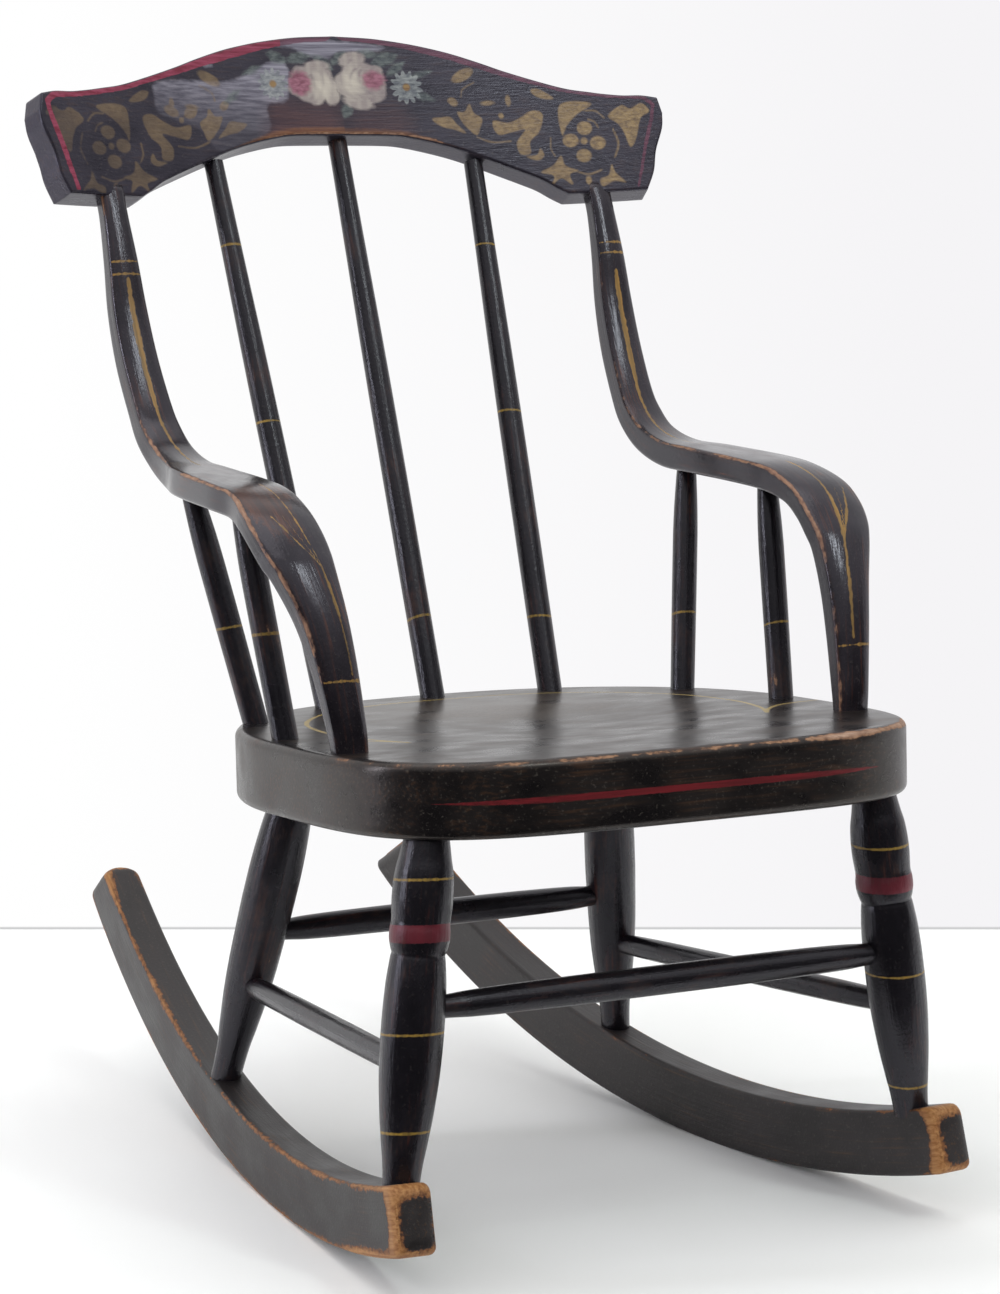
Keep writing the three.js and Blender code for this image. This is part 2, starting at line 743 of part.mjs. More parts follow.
function armSpindle(side, spacing, set, share) {
  return {
    foot: seatPoint(side * spacing / 2, set, 0),
    head: armUnderside(side, share),
    footRadius: armSpindleFootRadius,
    headRadius: armSpindleHeadRadius,
    swellShares: armSpindleSwellShares,
    headTenon: armSpindleTenonLength,
  };
}

const backSpindles = {
  back_spindle_left: backSpindle(-1, outerSpindleFootSet),
  back_spindle_middle: backSpindle(0, middleSpindleFootSet),
  back_spindle_right: backSpindle(1, outerSpindleFootSet),
};

function armSpindlesOf(name) {
  const side = sides[name];
  return {
    [`arm_spindle_rear_${name}`]: armSpindle(
      side, rearArmSpindleFootSpacing, rearArmSpindleFootSet, rearArmSpindleShare,
    ),
    [`arm_spindle_front_${name}`]: armSpindle(
      side, frontArmSpindleFootSpacing, frontArmSpindleFootSet, frontArmSpindleShare,
    ),
  };
}

// The chair, with every socket cut for the tenon that goes into it

const chair = new THREE.Group();
const seatCuts = [seatDish()];
const crestCuts = [];

for (const [name, side] of Object.entries(sides)) {
  const rockerCuts = [];
  for (const kind of ["front", "rear"]) {
    const { foot, top } = legAxis(side, kind);
    let solid = leg(side, kind);
    for (const cut of stretcherSockets(name, kind)) {
      solid = solid.subtract(cut);
    }
    chair.add(piece(`${kind}_leg_${name}`, solid, paint.turning));
    const seatTip = along(top, foot, -legTenonLength);
    seatCuts.push(socket(seatTip, foot, legTenonRadius, legTenonLength, legSides));
    const rockerTip = along(foot, top, -rockerTenonLength);
    rockerCuts.push(socket(rockerTip, top, rockerTenonRadius, rockerTenonLength, spindleSides));
  }
  const rocker = rockerCuts.reduce((solid, cut) => solid.subtract(cut), rockerPlank(side, 0, rockerThickness));
  chair.add(piece(`rocker_${name}`, rocker, paint.rocker));

  let armSolid = arm(side);
  for (const [spindleName, spec] of Object.entries(armSpindlesOf(name))) {
    const cuts = spindleSockets(spec);
    seatCuts.push(cuts.seat);
    armSolid = armSolid.subtract(cuts.head);
    chair.add(piece(spindleName, spindle(spec), paint.turning));
  }
  chair.add(piece(`arm_${name}`, armSolid, paint.arm));
  const footTenon = armTenon(side, "foot");
  const postTenon = armTenon(side, "post");
  seatCuts.push(socket(footTenon.tip, footTenon.inner, footTenon.radius, armTenonLength, spindleSides));
  crestCuts.push(socket(postTenon.tip, postTenon.inner, postTenon.radius, armTenonLength, spindleSides));
}

for (const [name, spec] of Object.entries(backSpindles)) {
  const cuts = spindleSockets(spec);
  seatCuts.push(cuts.seat);
  crestCuts.push(cuts.head);
  chair.add(piece(name, spindle(spec), paint.turning));
}

for (const [name, spec] of Object.entries(stretchers)) {
  chair.add(piece(name, stretcher(spec), paint.turning));
}

const seat = seatCuts.reduce((solid, cut) => solid.subtract(cut), seatPlank(0));
chair.add(piece("seat", seat, paint.seat));

const rail = crestPlank().intersect(crestBlank(0));
chair.add(piece("crest_rail", crestCuts.reduce((solid, cut) => solid.subtract(cut), rail), paint.rail));

// It rests with its weight over the touching point, and is centred on the floor
chair.rotation.x = radians(restLean);
chair.updateMatrixWorld();
const extent = new THREE.Box3().setFromObject(chair, true);
const centre = extent.getCenter(new THREE.Vector3());
chair.position.set(-centre.x, -centre.y, -extent.min.z);

export default chair;
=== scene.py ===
# A child's Boston rocking chair in worn black paint, with gilt stencilling, flowers and stripes.
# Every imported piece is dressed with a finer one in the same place. Metres, Z up, facing -Y.

import math
import bmesh
import bpy
import numpy as np
from mathutils import Matrix, Vector


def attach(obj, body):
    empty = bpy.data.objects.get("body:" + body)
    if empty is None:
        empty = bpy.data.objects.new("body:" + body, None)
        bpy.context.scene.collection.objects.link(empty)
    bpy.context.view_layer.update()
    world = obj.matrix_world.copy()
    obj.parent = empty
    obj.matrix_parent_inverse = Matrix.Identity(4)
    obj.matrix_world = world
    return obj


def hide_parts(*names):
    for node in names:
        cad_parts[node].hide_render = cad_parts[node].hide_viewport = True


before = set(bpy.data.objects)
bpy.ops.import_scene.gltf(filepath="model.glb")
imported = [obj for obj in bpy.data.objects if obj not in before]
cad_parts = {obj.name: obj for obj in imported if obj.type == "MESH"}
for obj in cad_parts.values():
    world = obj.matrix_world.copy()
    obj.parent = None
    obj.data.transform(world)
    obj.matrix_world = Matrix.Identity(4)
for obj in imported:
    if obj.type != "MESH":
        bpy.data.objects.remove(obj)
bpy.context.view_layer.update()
print("frame loaded:", len(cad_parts), "pieces")

mm = 0.001
sides = {"left": -1, "right": 1}
noLine = -9.0  # half the width of a painted line where there is none
farOff = 99.0  # how far off something counts that isn't there, in millimetres

# The pieces are laid out in millimetres round the point where the rockers touch the floor, and
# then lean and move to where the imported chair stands
layout = {"lean": 0.44, "forward": -84.379, "up": 0.021}


# A place in two directions, turned by so many degrees from the first toward the second
def spun(a, b, degrees):
    turn = math.radians(degrees)
    return a * math.cos(turn) - b * math.sin(turn), a * math.sin(turn) + b * math.cos(turn)


def placed(spots):
    x, y, z = spots.T
    y, z = spun(y, z, layout["lean"])
    return np.stack([x, y + layout["forward"], z + layout["up"]], 1) * mm


def newObject(name, data):
    item = bpy.data.objects.new(name, data)
    bpy.context.collection.objects.link(item)
    return item


# Nodes

def toLinear(code):
    parts = [int(code[i:i + 2], 16) / 255 for i in (1, 3, 5)]
    return [p / 12.92 if p <= 0.04045 else ((p + 0.055) / 1.055) ** 2.4 for p in parts] + [1.0]


def emptyTree(owner):
    owner.use_nodes = True
    owner.node_tree.nodes.clear()
    return owner.node_tree


# One node with its settings. Each input is a value, or a socket to link
def addNode(tree, kind, inputs=None, **settings):
    node = tree.nodes.new(kind)
    for key, value in settings.items():
        setattr(node, key, value)
    for key, value in (inputs or {}).items():
        if isinstance(value, bpy.types.NodeSocket):
            tree.links.new(value, node.inputs[key])
        else:
            node.inputs[key].default_value = value
    return node


def reckoned(tree, operation, *values):
    return addNode(tree, "ShaderNodeMath", dict(enumerate(values)), operation=operation).outputs[0]


def mapped(tree, value, low, high, least=0.0, most=1.0):
    return addNode(tree, "ShaderNodeMapRange", {
        "Value": value, "From Min": low, "From Max": high, "To Min": least, "To Max": most,
    }).outputs[0]


# Some share of the way from one value to another
def between(tree, share, first, second):
    return addNode(tree, "ShaderNodeMix", {"Factor": share, 2: first, 3: second}).outputs[0]


# The same for two colours, each a code or a socket
def tinted(tree, share, *colours):
    first, second = (toLinear(colour) if isinstance(colour, str) else colour for colour in colours)
    inputs = {"Factor": share, 6: first, 7: second}
    return addNode(tree, "ShaderNodeMix", inputs, data_type="RGBA").outputs[2]


def readField(tree, field):
    return addNode(tree, "ShaderNodeAttribute", attribute_name=field).outputs["Fac"]


# Meshes

def makePiece(name, spots, faces, material):
    mesh = bpy.data.meshes.new(name)
    mesh.from_pydata(placed(spots).tolist(), [], faces)
    shell = bmesh.new()
    shell.from_mesh(mesh)
    bmesh.ops.recalc_face_normals(shell, faces=shell.faces)
    shell.to_mesh(mesh)
    shell.free()
    mesh.polygons.foreach_set("use_smooth", [True] * len(mesh.polygons))
    mesh.materials.append(material)
    return newObject(name, mesh)


# Quads between rings with as many points each
def ringFaces(rings, size):
    faces = []
    for first in range(0, (rings - 1) * size, size):
        for j in range(size):
            a, b = first + j, first + (j + 1) % size
            faces.append((a, b, b + size, a + size))
    return faces


# A number or a vector at each point of the piece, for its material to read
def giveField(piece, name, values):
    values = np.asarray(values, dtype=np.float32)
    vectors = values.ndim == 2
    field = piece.data.attributes.new(name, "FLOAT_VECTOR" if vectors else "FLOAT", "POINT")
    field.data.foreach_set("vector" if vectors else "value", values.ravel())


# A painted line: how far beside its middle each point is, and half its width there
def giveLine(piece, name, beside, half):
    beside = np.asarray(beside, float)
    giveField(piece, name, np.column_stack([beside, np.broadcast_to(half, beside.shape), 0 * beside]))


# Where each point lies in its board, along the grain and two ways across. shift is in metres, and
# gives each piece of a kind its own streaks
def giveGrain(piece, along, across, rise, shift=0.0):
    giveField(piece, "grain", np.stack([along, across, rise], 1) * mm + (shift, 0, 0))


def settle(piece, node):
    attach(piece, "root")
    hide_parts(node)


# Lines and distances, all in millimetres

# A smooth line through the points: each stretch takes its slope from the points on either side
def smoothLine(points, places):
    points = np.asarray(points, float)
    ends = np.vstack([2 * points[0] - points[1], points, 2 * points[-1] - points[-2]])
    stretch = np.clip(places, 0, 1) * (len(points) - 1)
    first = np.minimum(np.floor(stretch).astype(int), len(points) - 2)
    w = (stretch - first)[:, None]
    a, b, c, d = (ends[first + i] for i in range(4))
    bent = (2 * a - 5 * b + 4 * c - d) * w ** 2 + (3 * b - a - 3 * c + d) * w ** 3
    return 0.5 * (2 * b + (c - a) * w + bent)


def smoothLoop(points, steps):
    points = np.asarray(points, float)
    turns = np.vstack([points[-2:], points, points[:3]])
    line = smoothLine(turns, np.linspace(0, 1, (len(turns) - 1) * steps + 1))
    return line[2 * steps:(2 + len(points)) * steps]


def lengthAlong(line):
    return np.concatenate([[0], np.cumsum(np.linalg.norm(np.diff(line, axis=0), axis=1))])


# A line in steps of equal length, or with shorter steps toward both ends
def evenly(line, count, crowding=0.0):
    along = lengthAlong(line)
    share = np.linspace(0, 1, count)
    wanted = along[-1] * (share - crowding * np.sin(2 * math.pi * share) / (2 * math.pi))
    return np.stack([np.interp(wanted, along, line[:, i]) for i in range(line.shape[1])], 1)


def closed(loop):
    return np.vstack([loop, loop[:1]])


# One loop from the two halves of an outline, which share their ends
def joined(low, high):
    return np.vstack([low, high[-2:0:-1]])


def outwards(loop):
    run = np.roll(loop, -1, axis=0) - np.roll(loop, 1, axis=0)
    run /= np.linalg.norm(run, axis=1)[:, None]
    return np.stack([run[:, 1], -run[:, 0]], 1)


# 1 in the middle of a place and next to nothing outside it. A higher power makes it flatter and its
# flanks steeper
def hump(x, middle, reach, power=2):
    return np.exp(-((x - middle) / reach) ** power)


def distanceTo(line, spots):
    nearest = np.full(len(spots), 1e3)
    for start, stop in zip(line[:-1], line[1:]):
        run = stop - start
        share = np.clip((spots - start) @ run / max(run @ run, 1e-9), 0, 1)
        nearest = np.minimum(nearest, np.linalg.norm(spots - start - share[:, None] * run, axis=1))
    return nearest


# How far outside a closed shape each spot is, less than nothing inside it
def outsideOf(shape, spots, margin=5):
    near = np.all((spots > shape.min(0) - margin) & (spots < shape.max(0) + margin), axis=1)
    result = np.full(len(spots), float(margin))
    x, y = spots[near].T
    within = np.zeros(len(x), bool)
    for (x0, y0), (x1, y1) in zip(shape, np.roll(shape, -1, axis=0)):
        if y0 != y1:
            within ^= ((y0 > y) != (y1 > y)) & (x < (x1 - x0) * (y - y0) / (y1 - y0) + x0)
    away = distanceTo(closed(shape), spots[near])
    result[near] = np.where(within, -away, away)
    return result


# The place beside the nearest of several marks along a line. It changes sign at every mark, so that
# it runs straight through each of them
def besideMarks(along, marks):
    marks = np.array(marks)
    nearest = np.min(np.abs(along[:, None] - marks), axis=1)
    return nearest * np.where(np.sum(along[:, None] > marks, axis=1) % 2, 1, -1)


# A sawn plank with arrises rounded by so much, or by so much at each point of its outline. low and
# high are the two halves of its outline, with as many points, and place(outline, depth, back) says
# where a point lies in the layout. Returns the points, the faces, and for each point its place in
# the outline and its distance from an arris
def sawnPlank(low, high, rows, rounding, wallSteps, place, bends=5):
    count = len(low)
    loop = joined(low, high)
    size = len(loop)
    rounding = np.broadcast_to(rounding, size)
    inward = outwards(loop) * -rounding[:, None]
    arrises = []
    for back in (False, True):
        for bend in np.linspace(0, math.pi / 2, bends):
            flat = loop + inward * (1 - math.sin(bend))
            arrises.append((place(flat, rounding * (1 - math.cos(bend)), back), flat, np.zeros(size)))
    # In order round the plank: front rounding, wall, back rounding reversed
    near, far = arrises[bends - 1][0], arrises[-1][0]
    width = np.linalg.norm(near - far, axis=1)
    walls = []
    for share in np.arange(1, wallSteps) / wallSteps:
        walls.append((near * (1 - share) + far * share, loop, width * min(share, 1 - share)))
    rings = arrises[:bends] + walls + arrises[:bends - 1:-1]
    faces = ringFaces(len(rings), size)
    # The two sawn faces, in rows between the halves of the outline
    rim = loop + inward
    lower, upper = rim[:count], np.vstack([rim[:1], rim[:count - 1:-1], rim[count - 1:count]])
    inner = np.arange(1, rows) / rows
    grid = (lower[1:-1, None] + (upper - lower)[1:-1, None] * inner[None, :, None]).reshape(-1, 2)
    fromRim = distanceTo(closed(rim), grid)
    for back, base in ((False, 0), (True, (len(rings) - 1) * size)):
        first = sum(len(ring[0]) for ring in rings)
        rings.append((place(grid, np.zeros(len(grid)), back), grid, fromRim))

        def number(i, j):
            if i in (0, count - 1) or j == 0:
                return base + i
            if j == rows:
                return base + size - i
            return first + (i - 1) * (rows - 1) + j - 1

        for i in range(count - 1):
            for j in range(rows):
                corners = [number(i, j), number(i + 1, j), number(i + 1, j + 1), number(i, j + 1)]
                faces.append(tuple(dict.fromkeys(corners)))
    spots, places, arris = (np.concatenate(part) for part in zip(*rings))
    return spots, faces, places, arris


# Paint

# What all the coats of aged paint have in common
aged = {
    # cells per metre along and across the grain, and detail
    "noises": {
        "streak": (18, 520, 4),  # streaks about 2 mm wide and 50 mm long
        "cloud": (26, 48, 3),  # patches about 30 mm across
        "fine": (110, 1100, 2),  # brush ridges, drawn nearly a millimetre apart so that they show
        "pits": (480, 620, 2),  # dents and crackle about 2 mm apart
        "ragged": (220, 420, 4),  # broken edges of worn paint, about 3 mm
    },
    # from where to where in a noise's range: the ground's change of colour and gloss, the patches
    # that show graining, the pits that hold dust, and the mottling of what is laid over
    "clouded": (0.35, 0.65), "patches": (0.42, 0.6), "dusty": (0.6, 0.74), "mottled": (0.36, 0.64),
    "grainingSpan": 0.16, "glossSpan": 0.12, "dust": "#8a8378",
    "ridgeRelief": 0.3, "pitRelief": 0.45, "bareRelief": -0.35, "reliefHeight": 0.6 * mm,
    # Where the paint is thin, where it is gone, and where the wood is scrubbed: greyed by hands, or
    # kept yellow by the floor
    "handled": (("#33211a", "#523425"), ("#6a4630", "#966f50"), ("#a07d68", "#c4a692")),
    "scraped": (("#2f1b10", "#54301a"), ("#52301a", "#7e4f2c"), ("#87562b", "#b0804e")),
}


# Drying oil paint rubbed thin over maple: nearly black with a red-brown graining under it, which
# shows as faint streaks along the piece, and fine ridges and pits that break up the gloss
def agedPaint(name, look):
    material = bpy.data.materials.new(name)
    tree = emptyTree(material)
    grain = addNode(tree, "ShaderNodeAttribute", attribute_name="grain").outputs["Vector"]
    noises = {}
    for key, (alongGrain, acrossGrain, detail) in aged["noises"].items():
        cells = (alongGrain, acrossGrain, acrossGrain)
        stretched = addNode(tree, "ShaderNodeVectorMath", {0: grain, 1: cells}, operation="MULTIPLY")
        noises[key] = addNode(tree, "ShaderNodeTexNoise", {
            "Vector": stretched.outputs[0], "Scale": 1.0, "Detail": detail, "Roughness": 0.55,
        }).outputs["Fac"]
    ground = tinted(tree, mapped(tree, noises["cloud"], *aged["clouded"]), look["dark"], look["light"])
    grainingTo = look["grainingFrom"] + aged["grainingSpan"]
    streaks = mapped(tree, noises["streak"], look["grainingFrom"], grainingTo)
    shown = reckoned(tree, "MULTIPLY", streaks, mapped(tree, noises["cloud"], *aged["patches"]))
    grained = tinted(tree, shown, ground, look["graining"])
    dust = mapped(tree, noises["pits"], *aged["dusty"], 0.0, look["dust"])
    glossTo = look["gloss"] + aged["glossSpan"]
    ridges = reckoned(tree, "MULTIPLY_ADD", noises["fine"], aged["ridgeRelief"], noises["streak"])
    return {
        "material": material, "tree": tree, "noises": noises, "look": look,
        "colour": tinted(tree, dust, grained, aged["dust"]),
        "rough": mapped(tree, noises["cloud"], *aged["clouded"], look["gloss"], glossTo),
        "height": reckoned(tree, "MULTIPLY_ADD", noises["pits"], aged["pitRelief"], ridges),
    }


# How much a painted or worn place covers a point. Its field is the distance to its edge in
# millimetres, or for a line the place beside its middle and half its width
def coverOf(paint, field, ragged, patchy=0.0, soft=0.5, line=False, within=0.0):
    tree, noises = paint["tree"], paint["noises"]
    source = addNode(tree, "ShaderNodeAttribute", attribute_name=field).outputs
    distance = source["Fac"]
    if line:
        parts = addNode(tree, "ShaderNodeSeparateXYZ", {0: source["Vector"]}).outputs
        distance = reckoned(tree, "SUBTRACT", reckoned(tree, "ABSOLUTE", parts["X"]), parts["Y"])
    broken = reckoned(tree, "MULTIPLY_ADD", noises["ragged"], ragged, -0.5 * (ragged + patchy) - within)
    patched = reckoned(tree, "MULTIPLY_ADD", noises["cloud"], patchy, broken)
    return mapped(tree, reckoned(tree, "SUBTRACT", patched, distance), -soft / 2, soft / 2)


# A coat over what is there, between two colours that follow a noise or else a field of the piece.
# strength is a number, another cover or another field
def layOver(paint, cover, colour, second, rough, strength=1.0, mottle="streak"):
    tree, noises = paint["tree"], paint["noises"]
    if mottle in noises:
        spread = mapped(tree, noises[mottle], *aged["mottled"])
    else:
        spread = mapped(tree, readField(tree, mottle), 0, 1)
    amount = reckoned(tree, "MULTIPLY", cover, strength)
    paint["colour"] = tinted(tree, amount, paint["colour"], tinted(tree, spread, colour, second))
    paint["rough"] = between(tree, amount, paint["rough"], rough)


# Worn places come last: the paint thins to brown, then is gone down to the wood, which lies a
# little lower and is scrubbed further in
def finishPaint(paint, ragged, patchy, tones="handled"):
    tree, look = paint["tree"], paint["look"]
    thinned, bared, scrubbed = aged[tones]
    layOver(paint, coverOf(paint, "bare", ragged * 1.6, patchy * 1.4, soft=2.6), *thinned, 0.4, 0.75)
    gone = coverOf(paint, "bare", ragged, patchy)
    layOver(paint, gone, *bared, 0.6, 1.0, "ragged")
    layOver(paint, coverOf(paint, "bare", ragged, patchy, soft=2.6, within=1.4), *scrubbed, 0.6, 0.92)
    bump = addNode(tree, "ShaderNodeBump", {
        "Strength": look["relief"], "Distance": aged["reliefHeight"],
        "Height": reckoned(tree, "MULTIPLY_ADD", gone, aged["bareRelief"], paint["height"]),
    })
    shader = addNode(tree, "ShaderNodeBsdfPrincipled", {
        "Base Color": paint["colour"], "Roughness": paint["rough"], "Normal": bump.outputs[0],
        "IOR": 1.5, "Specular IOR Level": look["shine"], "Specular Tint": toLinear(look["tint"]),
    })
    addNode(tree, "ShaderNodeOutputMaterial", {"Surface": shader.outputs[0]})
    return paint["material"]


# Linseed-oil paint on the turnings: near black and glossy, with chrome-yellow and red rings
def turningPaint():
    paint = agedPaint("oil_paint_on_turnings", {
        "dark": "#110f13", "light": "#1a171c", "graining": "#3d1f1b", "grainingFrom": 0.56,
        "dust": 0.05, "gloss": 0.21, "relief": 0.45, "shine": 0.5, "tint": "#f6f4ff",
    })
    layOver(paint, coverOf(paint, "red", 0.9, line=True), "#6d1c28", "#4c151e", 0.4, mottle="cloud")
    layOver(paint, coverOf(paint, "yellow", 1.3, 1.2, line=True), "#9a7a2a", "#6e5a26", 0.42)
    return finishPaint(paint, 3.0, 6.0)


# The same paint on the arms, smoother from handling, with gilt lines down the middle
def armPaint():
    paint = agedPaint("oil_paint_on_arms", {
        "dark": "#151216", "light": "#262126", "graining": "#4c2a1a", "grainingFrom": 0.53,
        "dust": 0.07, "gloss": 0.14, "relief": 0.3, "shine": 0.55, "tint": "#f4f0ff",
    })
    layOver(paint, coverOf(paint, "rubbed", 26, 30, soft=4.0), "#28140a", "#4f2b15", 0.2, 0.85)
    for field in ("post", "fork", "bands"):
        layOver(paint, coverOf(paint, field, 2.6, 2.4, line=True), "#9a7430", "#6d5626", 0.4)
    return finishPaint(paint, 2.2, 4.5)


# Satin paint on the plank seat, rubbed by sitting to a grey-brown, with a pinstripe and a red line
def seatPaint():
    paint = agedPaint("satin_paint_on_seat", {
        "dark": "#110f11", "light": "#1f1b1b", "graining": "#3a281d", "grainingFrom": 0.5,
        "dust": 0.16, "gloss": 0.25, "relief": 0.12, "shine": 0.52, "tint": "#fff3ec",
    })
    layOver(paint, coverOf(paint, "sat", 60, 120, soft=110), "#37302a", "#574c42", 0.3, 0.85, "pits")
    layOver(paint, coverOf(paint, "pinstripe", 1.2, 1.6, line=True), "#b39a58", "#8d7a48", 0.42, 0.9)
    layOver(paint, coverOf(paint, "red", 0.9, line=True), "#76151f", "#561018", 0.38)
    return finishPaint(paint, 2.6, 5.0)


# Flat paint on the rockers, scuffed and rubbed through to the maple at the ends and outer arrises
def rockerPaint():
    paint = agedPaint("flat_paint_on_rockers", {
        "dark": "#1c191a", "light": "#2d292a", "graining": "#4a3423", "grainingFrom": 0.56,
        "dust": 0.1, "gloss": 0.4, "relief": 0.4, "shine": 0.4, "tint": "#fff9f6",
    })
    return finishPaint(paint, 5.0, 6.5, "scraped")


# Grained and varnished paint on the crest rail under bronze-powder stencilling and flowers. It is
# rubbed thin and brown over the arch, and scuffed to a lavender-grey bloom on the left. Over that
# bloom and along the top middle lies a painted sheen: pale grey that stands for reflected light
def crestPaint():
    paint = agedPaint("varnished_paint_on_crest", {
        "dark": "#25222a", "light": "#35313b", "graining": "#3c3133", "grainingFrom": 0.5,
        "dust": 0.12, "gloss": 0.27, "relief": 0.3, "shine": 0.58, "tint": "#eeeaff",
    })
    thinness, bloomAndSheen = readField(paint["tree"], "thinness"), readField(paint["tree"], "bloomAndSheen")
    layOver(paint, coverOf(paint, "thin", 5.0, soft=15), "#4a3236", "#664642", 0.34, thinness)
    layOver(paint, coverOf(paint, "glow", 2.0, soft=4.5), "#7c4a22", "#b0742f", 0.36, 0.85)
    # painted sheen: pale lavender grey laid into the colour where the gloss reflects light, over the
    # scuffed bloom
    layOver(paint, coverOf(paint, "hazeAndSheen", 2.4, soft=2.2), "#6e6b78", "#aba8b5", 0.42, bloomAndSheen)
    kept = coverOf(paint, "kept", 40, 50, soft=60)  # the stencilling is more worn on the left
    layOver(paint, coverOf(paint, "gold", 1.3, 1.0, soft=1.1), "#9f8559", "#756043", 0.38, kept, "ragged")
    layOver(paint, coverOf(paint, "leaf", 3.0, soft=2.2), "#434e4d", "#79847e", 0.45, 0.62, "ragged")
    layOver(paint, coverOf(paint, "petal", 2.2, soft=1.8), "#72616a", "#d2c9ba", 0.42, 0.94, "light")
    layOver(paint, coverOf(paint, "blush", 5.0, soft=3.4), "#7b2f49", "#a8647a", 0.42, 0.85, "ragged")
    layOver(paint, coverOf(paint, "daisy", 1.0, soft=1.0), "#6d7377", "#a9aeab", 0.42, 0.72, "ragged")
    layOver(paint, coverOf(paint, "eye", 0.8, soft=1.4), "#a08048", "#7d5a2c", 0.45, 0.9)
    layOver(paint, coverOf(paint, "mauve", 1.4, 1.6, line=True), "#552337", "#7a4255", 0.4, 0.75)
    layOver(paint, coverOf(paint, "red", 1.4, 1.6, line=True), "#7d1a30", "#a04059", 0.4, 0.95)
    return finishPaint(paint, 2.4, 5.0)


# Turnings

# A turning's outline: places along it from its foot, and its radius there in millimetres. A leg's
# is in shares of its full radius, and the others swell to theirs between foot and head
def legShape(full, shares):
    return [(place, full * share) for place, share in shares]


def swollenShape(foot, head, full, swells):
    return [(place, foot + (head - foot) * place + swell * (full - foot - (head - foot) * place))
            for place, swell in swells]


# tenons: the lengths at foot and head that are hidden in other pieces
turnings = {
    "front_leg": {"sides": 56, "tenons": (21, 24), "shape": legShape(17, (
        (0, 0.58), (0.06, 0.63), (0.13, 0.74), (0.24, 0.89), (0.35, 0.98), (0.46, 1), (0.56, 0.97),
        (0.62, 0.91), (0.65, 0.865), (0.656, 0.85), (0.664, 0.88), (0.685, 0.94), (0.7, 0.965),
        (0.72, 0.965), (0.735, 0.94), (0.745, 0.93), (0.76, 0.94), (0.81, 0.97), (0.86, 0.95),
        (0.93, 0.82), (1, 0.68),
    ))},
    "rear_leg": {"sides": 56, "tenons": (21, 24), "shape": legShape(16, (
        (0, 0.57), (0.1, 0.61), (0.2, 0.74), (0.34, 0.9), (0.52, 0.98), (0.68, 1), (0.82, 0.93),
        (0.92, 0.8), (1, 0.66),
    ))},
    "back_spindle": {"sides": 36, "tenons": (20, 13), "shape": swollenShape(7.4, 6, 7.8, (
        (0, 0.6), (0.15, 0.9), (0.35, 1), (0.6, 0.7), (0.85, 0.15), (1, 0),
    ))},
    "arm_spindle": {"sides": 36, "tenons": (20, 9), "shape": swollenShape(7.2, 5.7, 7.8, (
        (0, 0.5), (0.2, 0.8), (0.5, 1), (0.72, 0.95), (0.9, 0.45), (1, 0),
    ))},
}
for kind, full in (("cross_stretcher", 8.3), ("side_stretcher", 7.1)):
    turnings[kind] = {"sides": 36, "tenons": (10, 10), "shape": swollenShape(6.2, 6.2, full, (
        (0, 0), (0.02, 0.1), (0.09, 0.6), (0.25, 0.92), (0.5, 1), (0.75, 0.92), (0.91, 0.6), (0.98, 0.1),
        (1, 0),
    ))}

turned = {
    "runIn": 3.5,  # how far each end runs into the piece that holds it
    "steps": 260, "grainShift": 0.7,
    "wornBack": 1.9,  # the paint's distance from being worn through, all over
    "ringLean": (0.09, -0.06),  # the rings are painted by hand, so they lean a little
    # where the painted rings are, up from the foot in millimetres
    "yellow": {
        "front_leg_left": (28, 81, 164), "front_leg_right": (15, 82, 157), "back_spindle_middle": 50,
        "back_spindle_left": (49, 182, 298), "back_spindle_right": (47, 183, 296),
        "arm_spindle_front_left": 60, "arm_spindle_front_right": 45,
        "arm_spindle_rear_left": 58, "arm_spindle_rear_right": 47,
    },
    "yellowHalf": 0.65,
    "red": {"front_leg_left": 135, "front_leg_right": 135.5},
    "redHalf": 4.8,
}


# The middles of a packed turning's two end faces, the lower one first
def axisEnds(node):
    spots = np.array([corner.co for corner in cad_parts[node].data.vertices])
    run = np.linalg.svd(spots - spots.mean(0), full_matrices=False)[2][0]
    run = run if run[2] > 0 else -run
    reach = spots @ run
    tips = [spots[reach < reach.min() + mm], spots[reach > reach.max() - mm]]
    return [np.unique(np.round(tip, 6), axis=0).mean(0) for tip in tips]


def fullRadius(kind):
    return max(radius for place, radius in turnings[kind]["shape"])


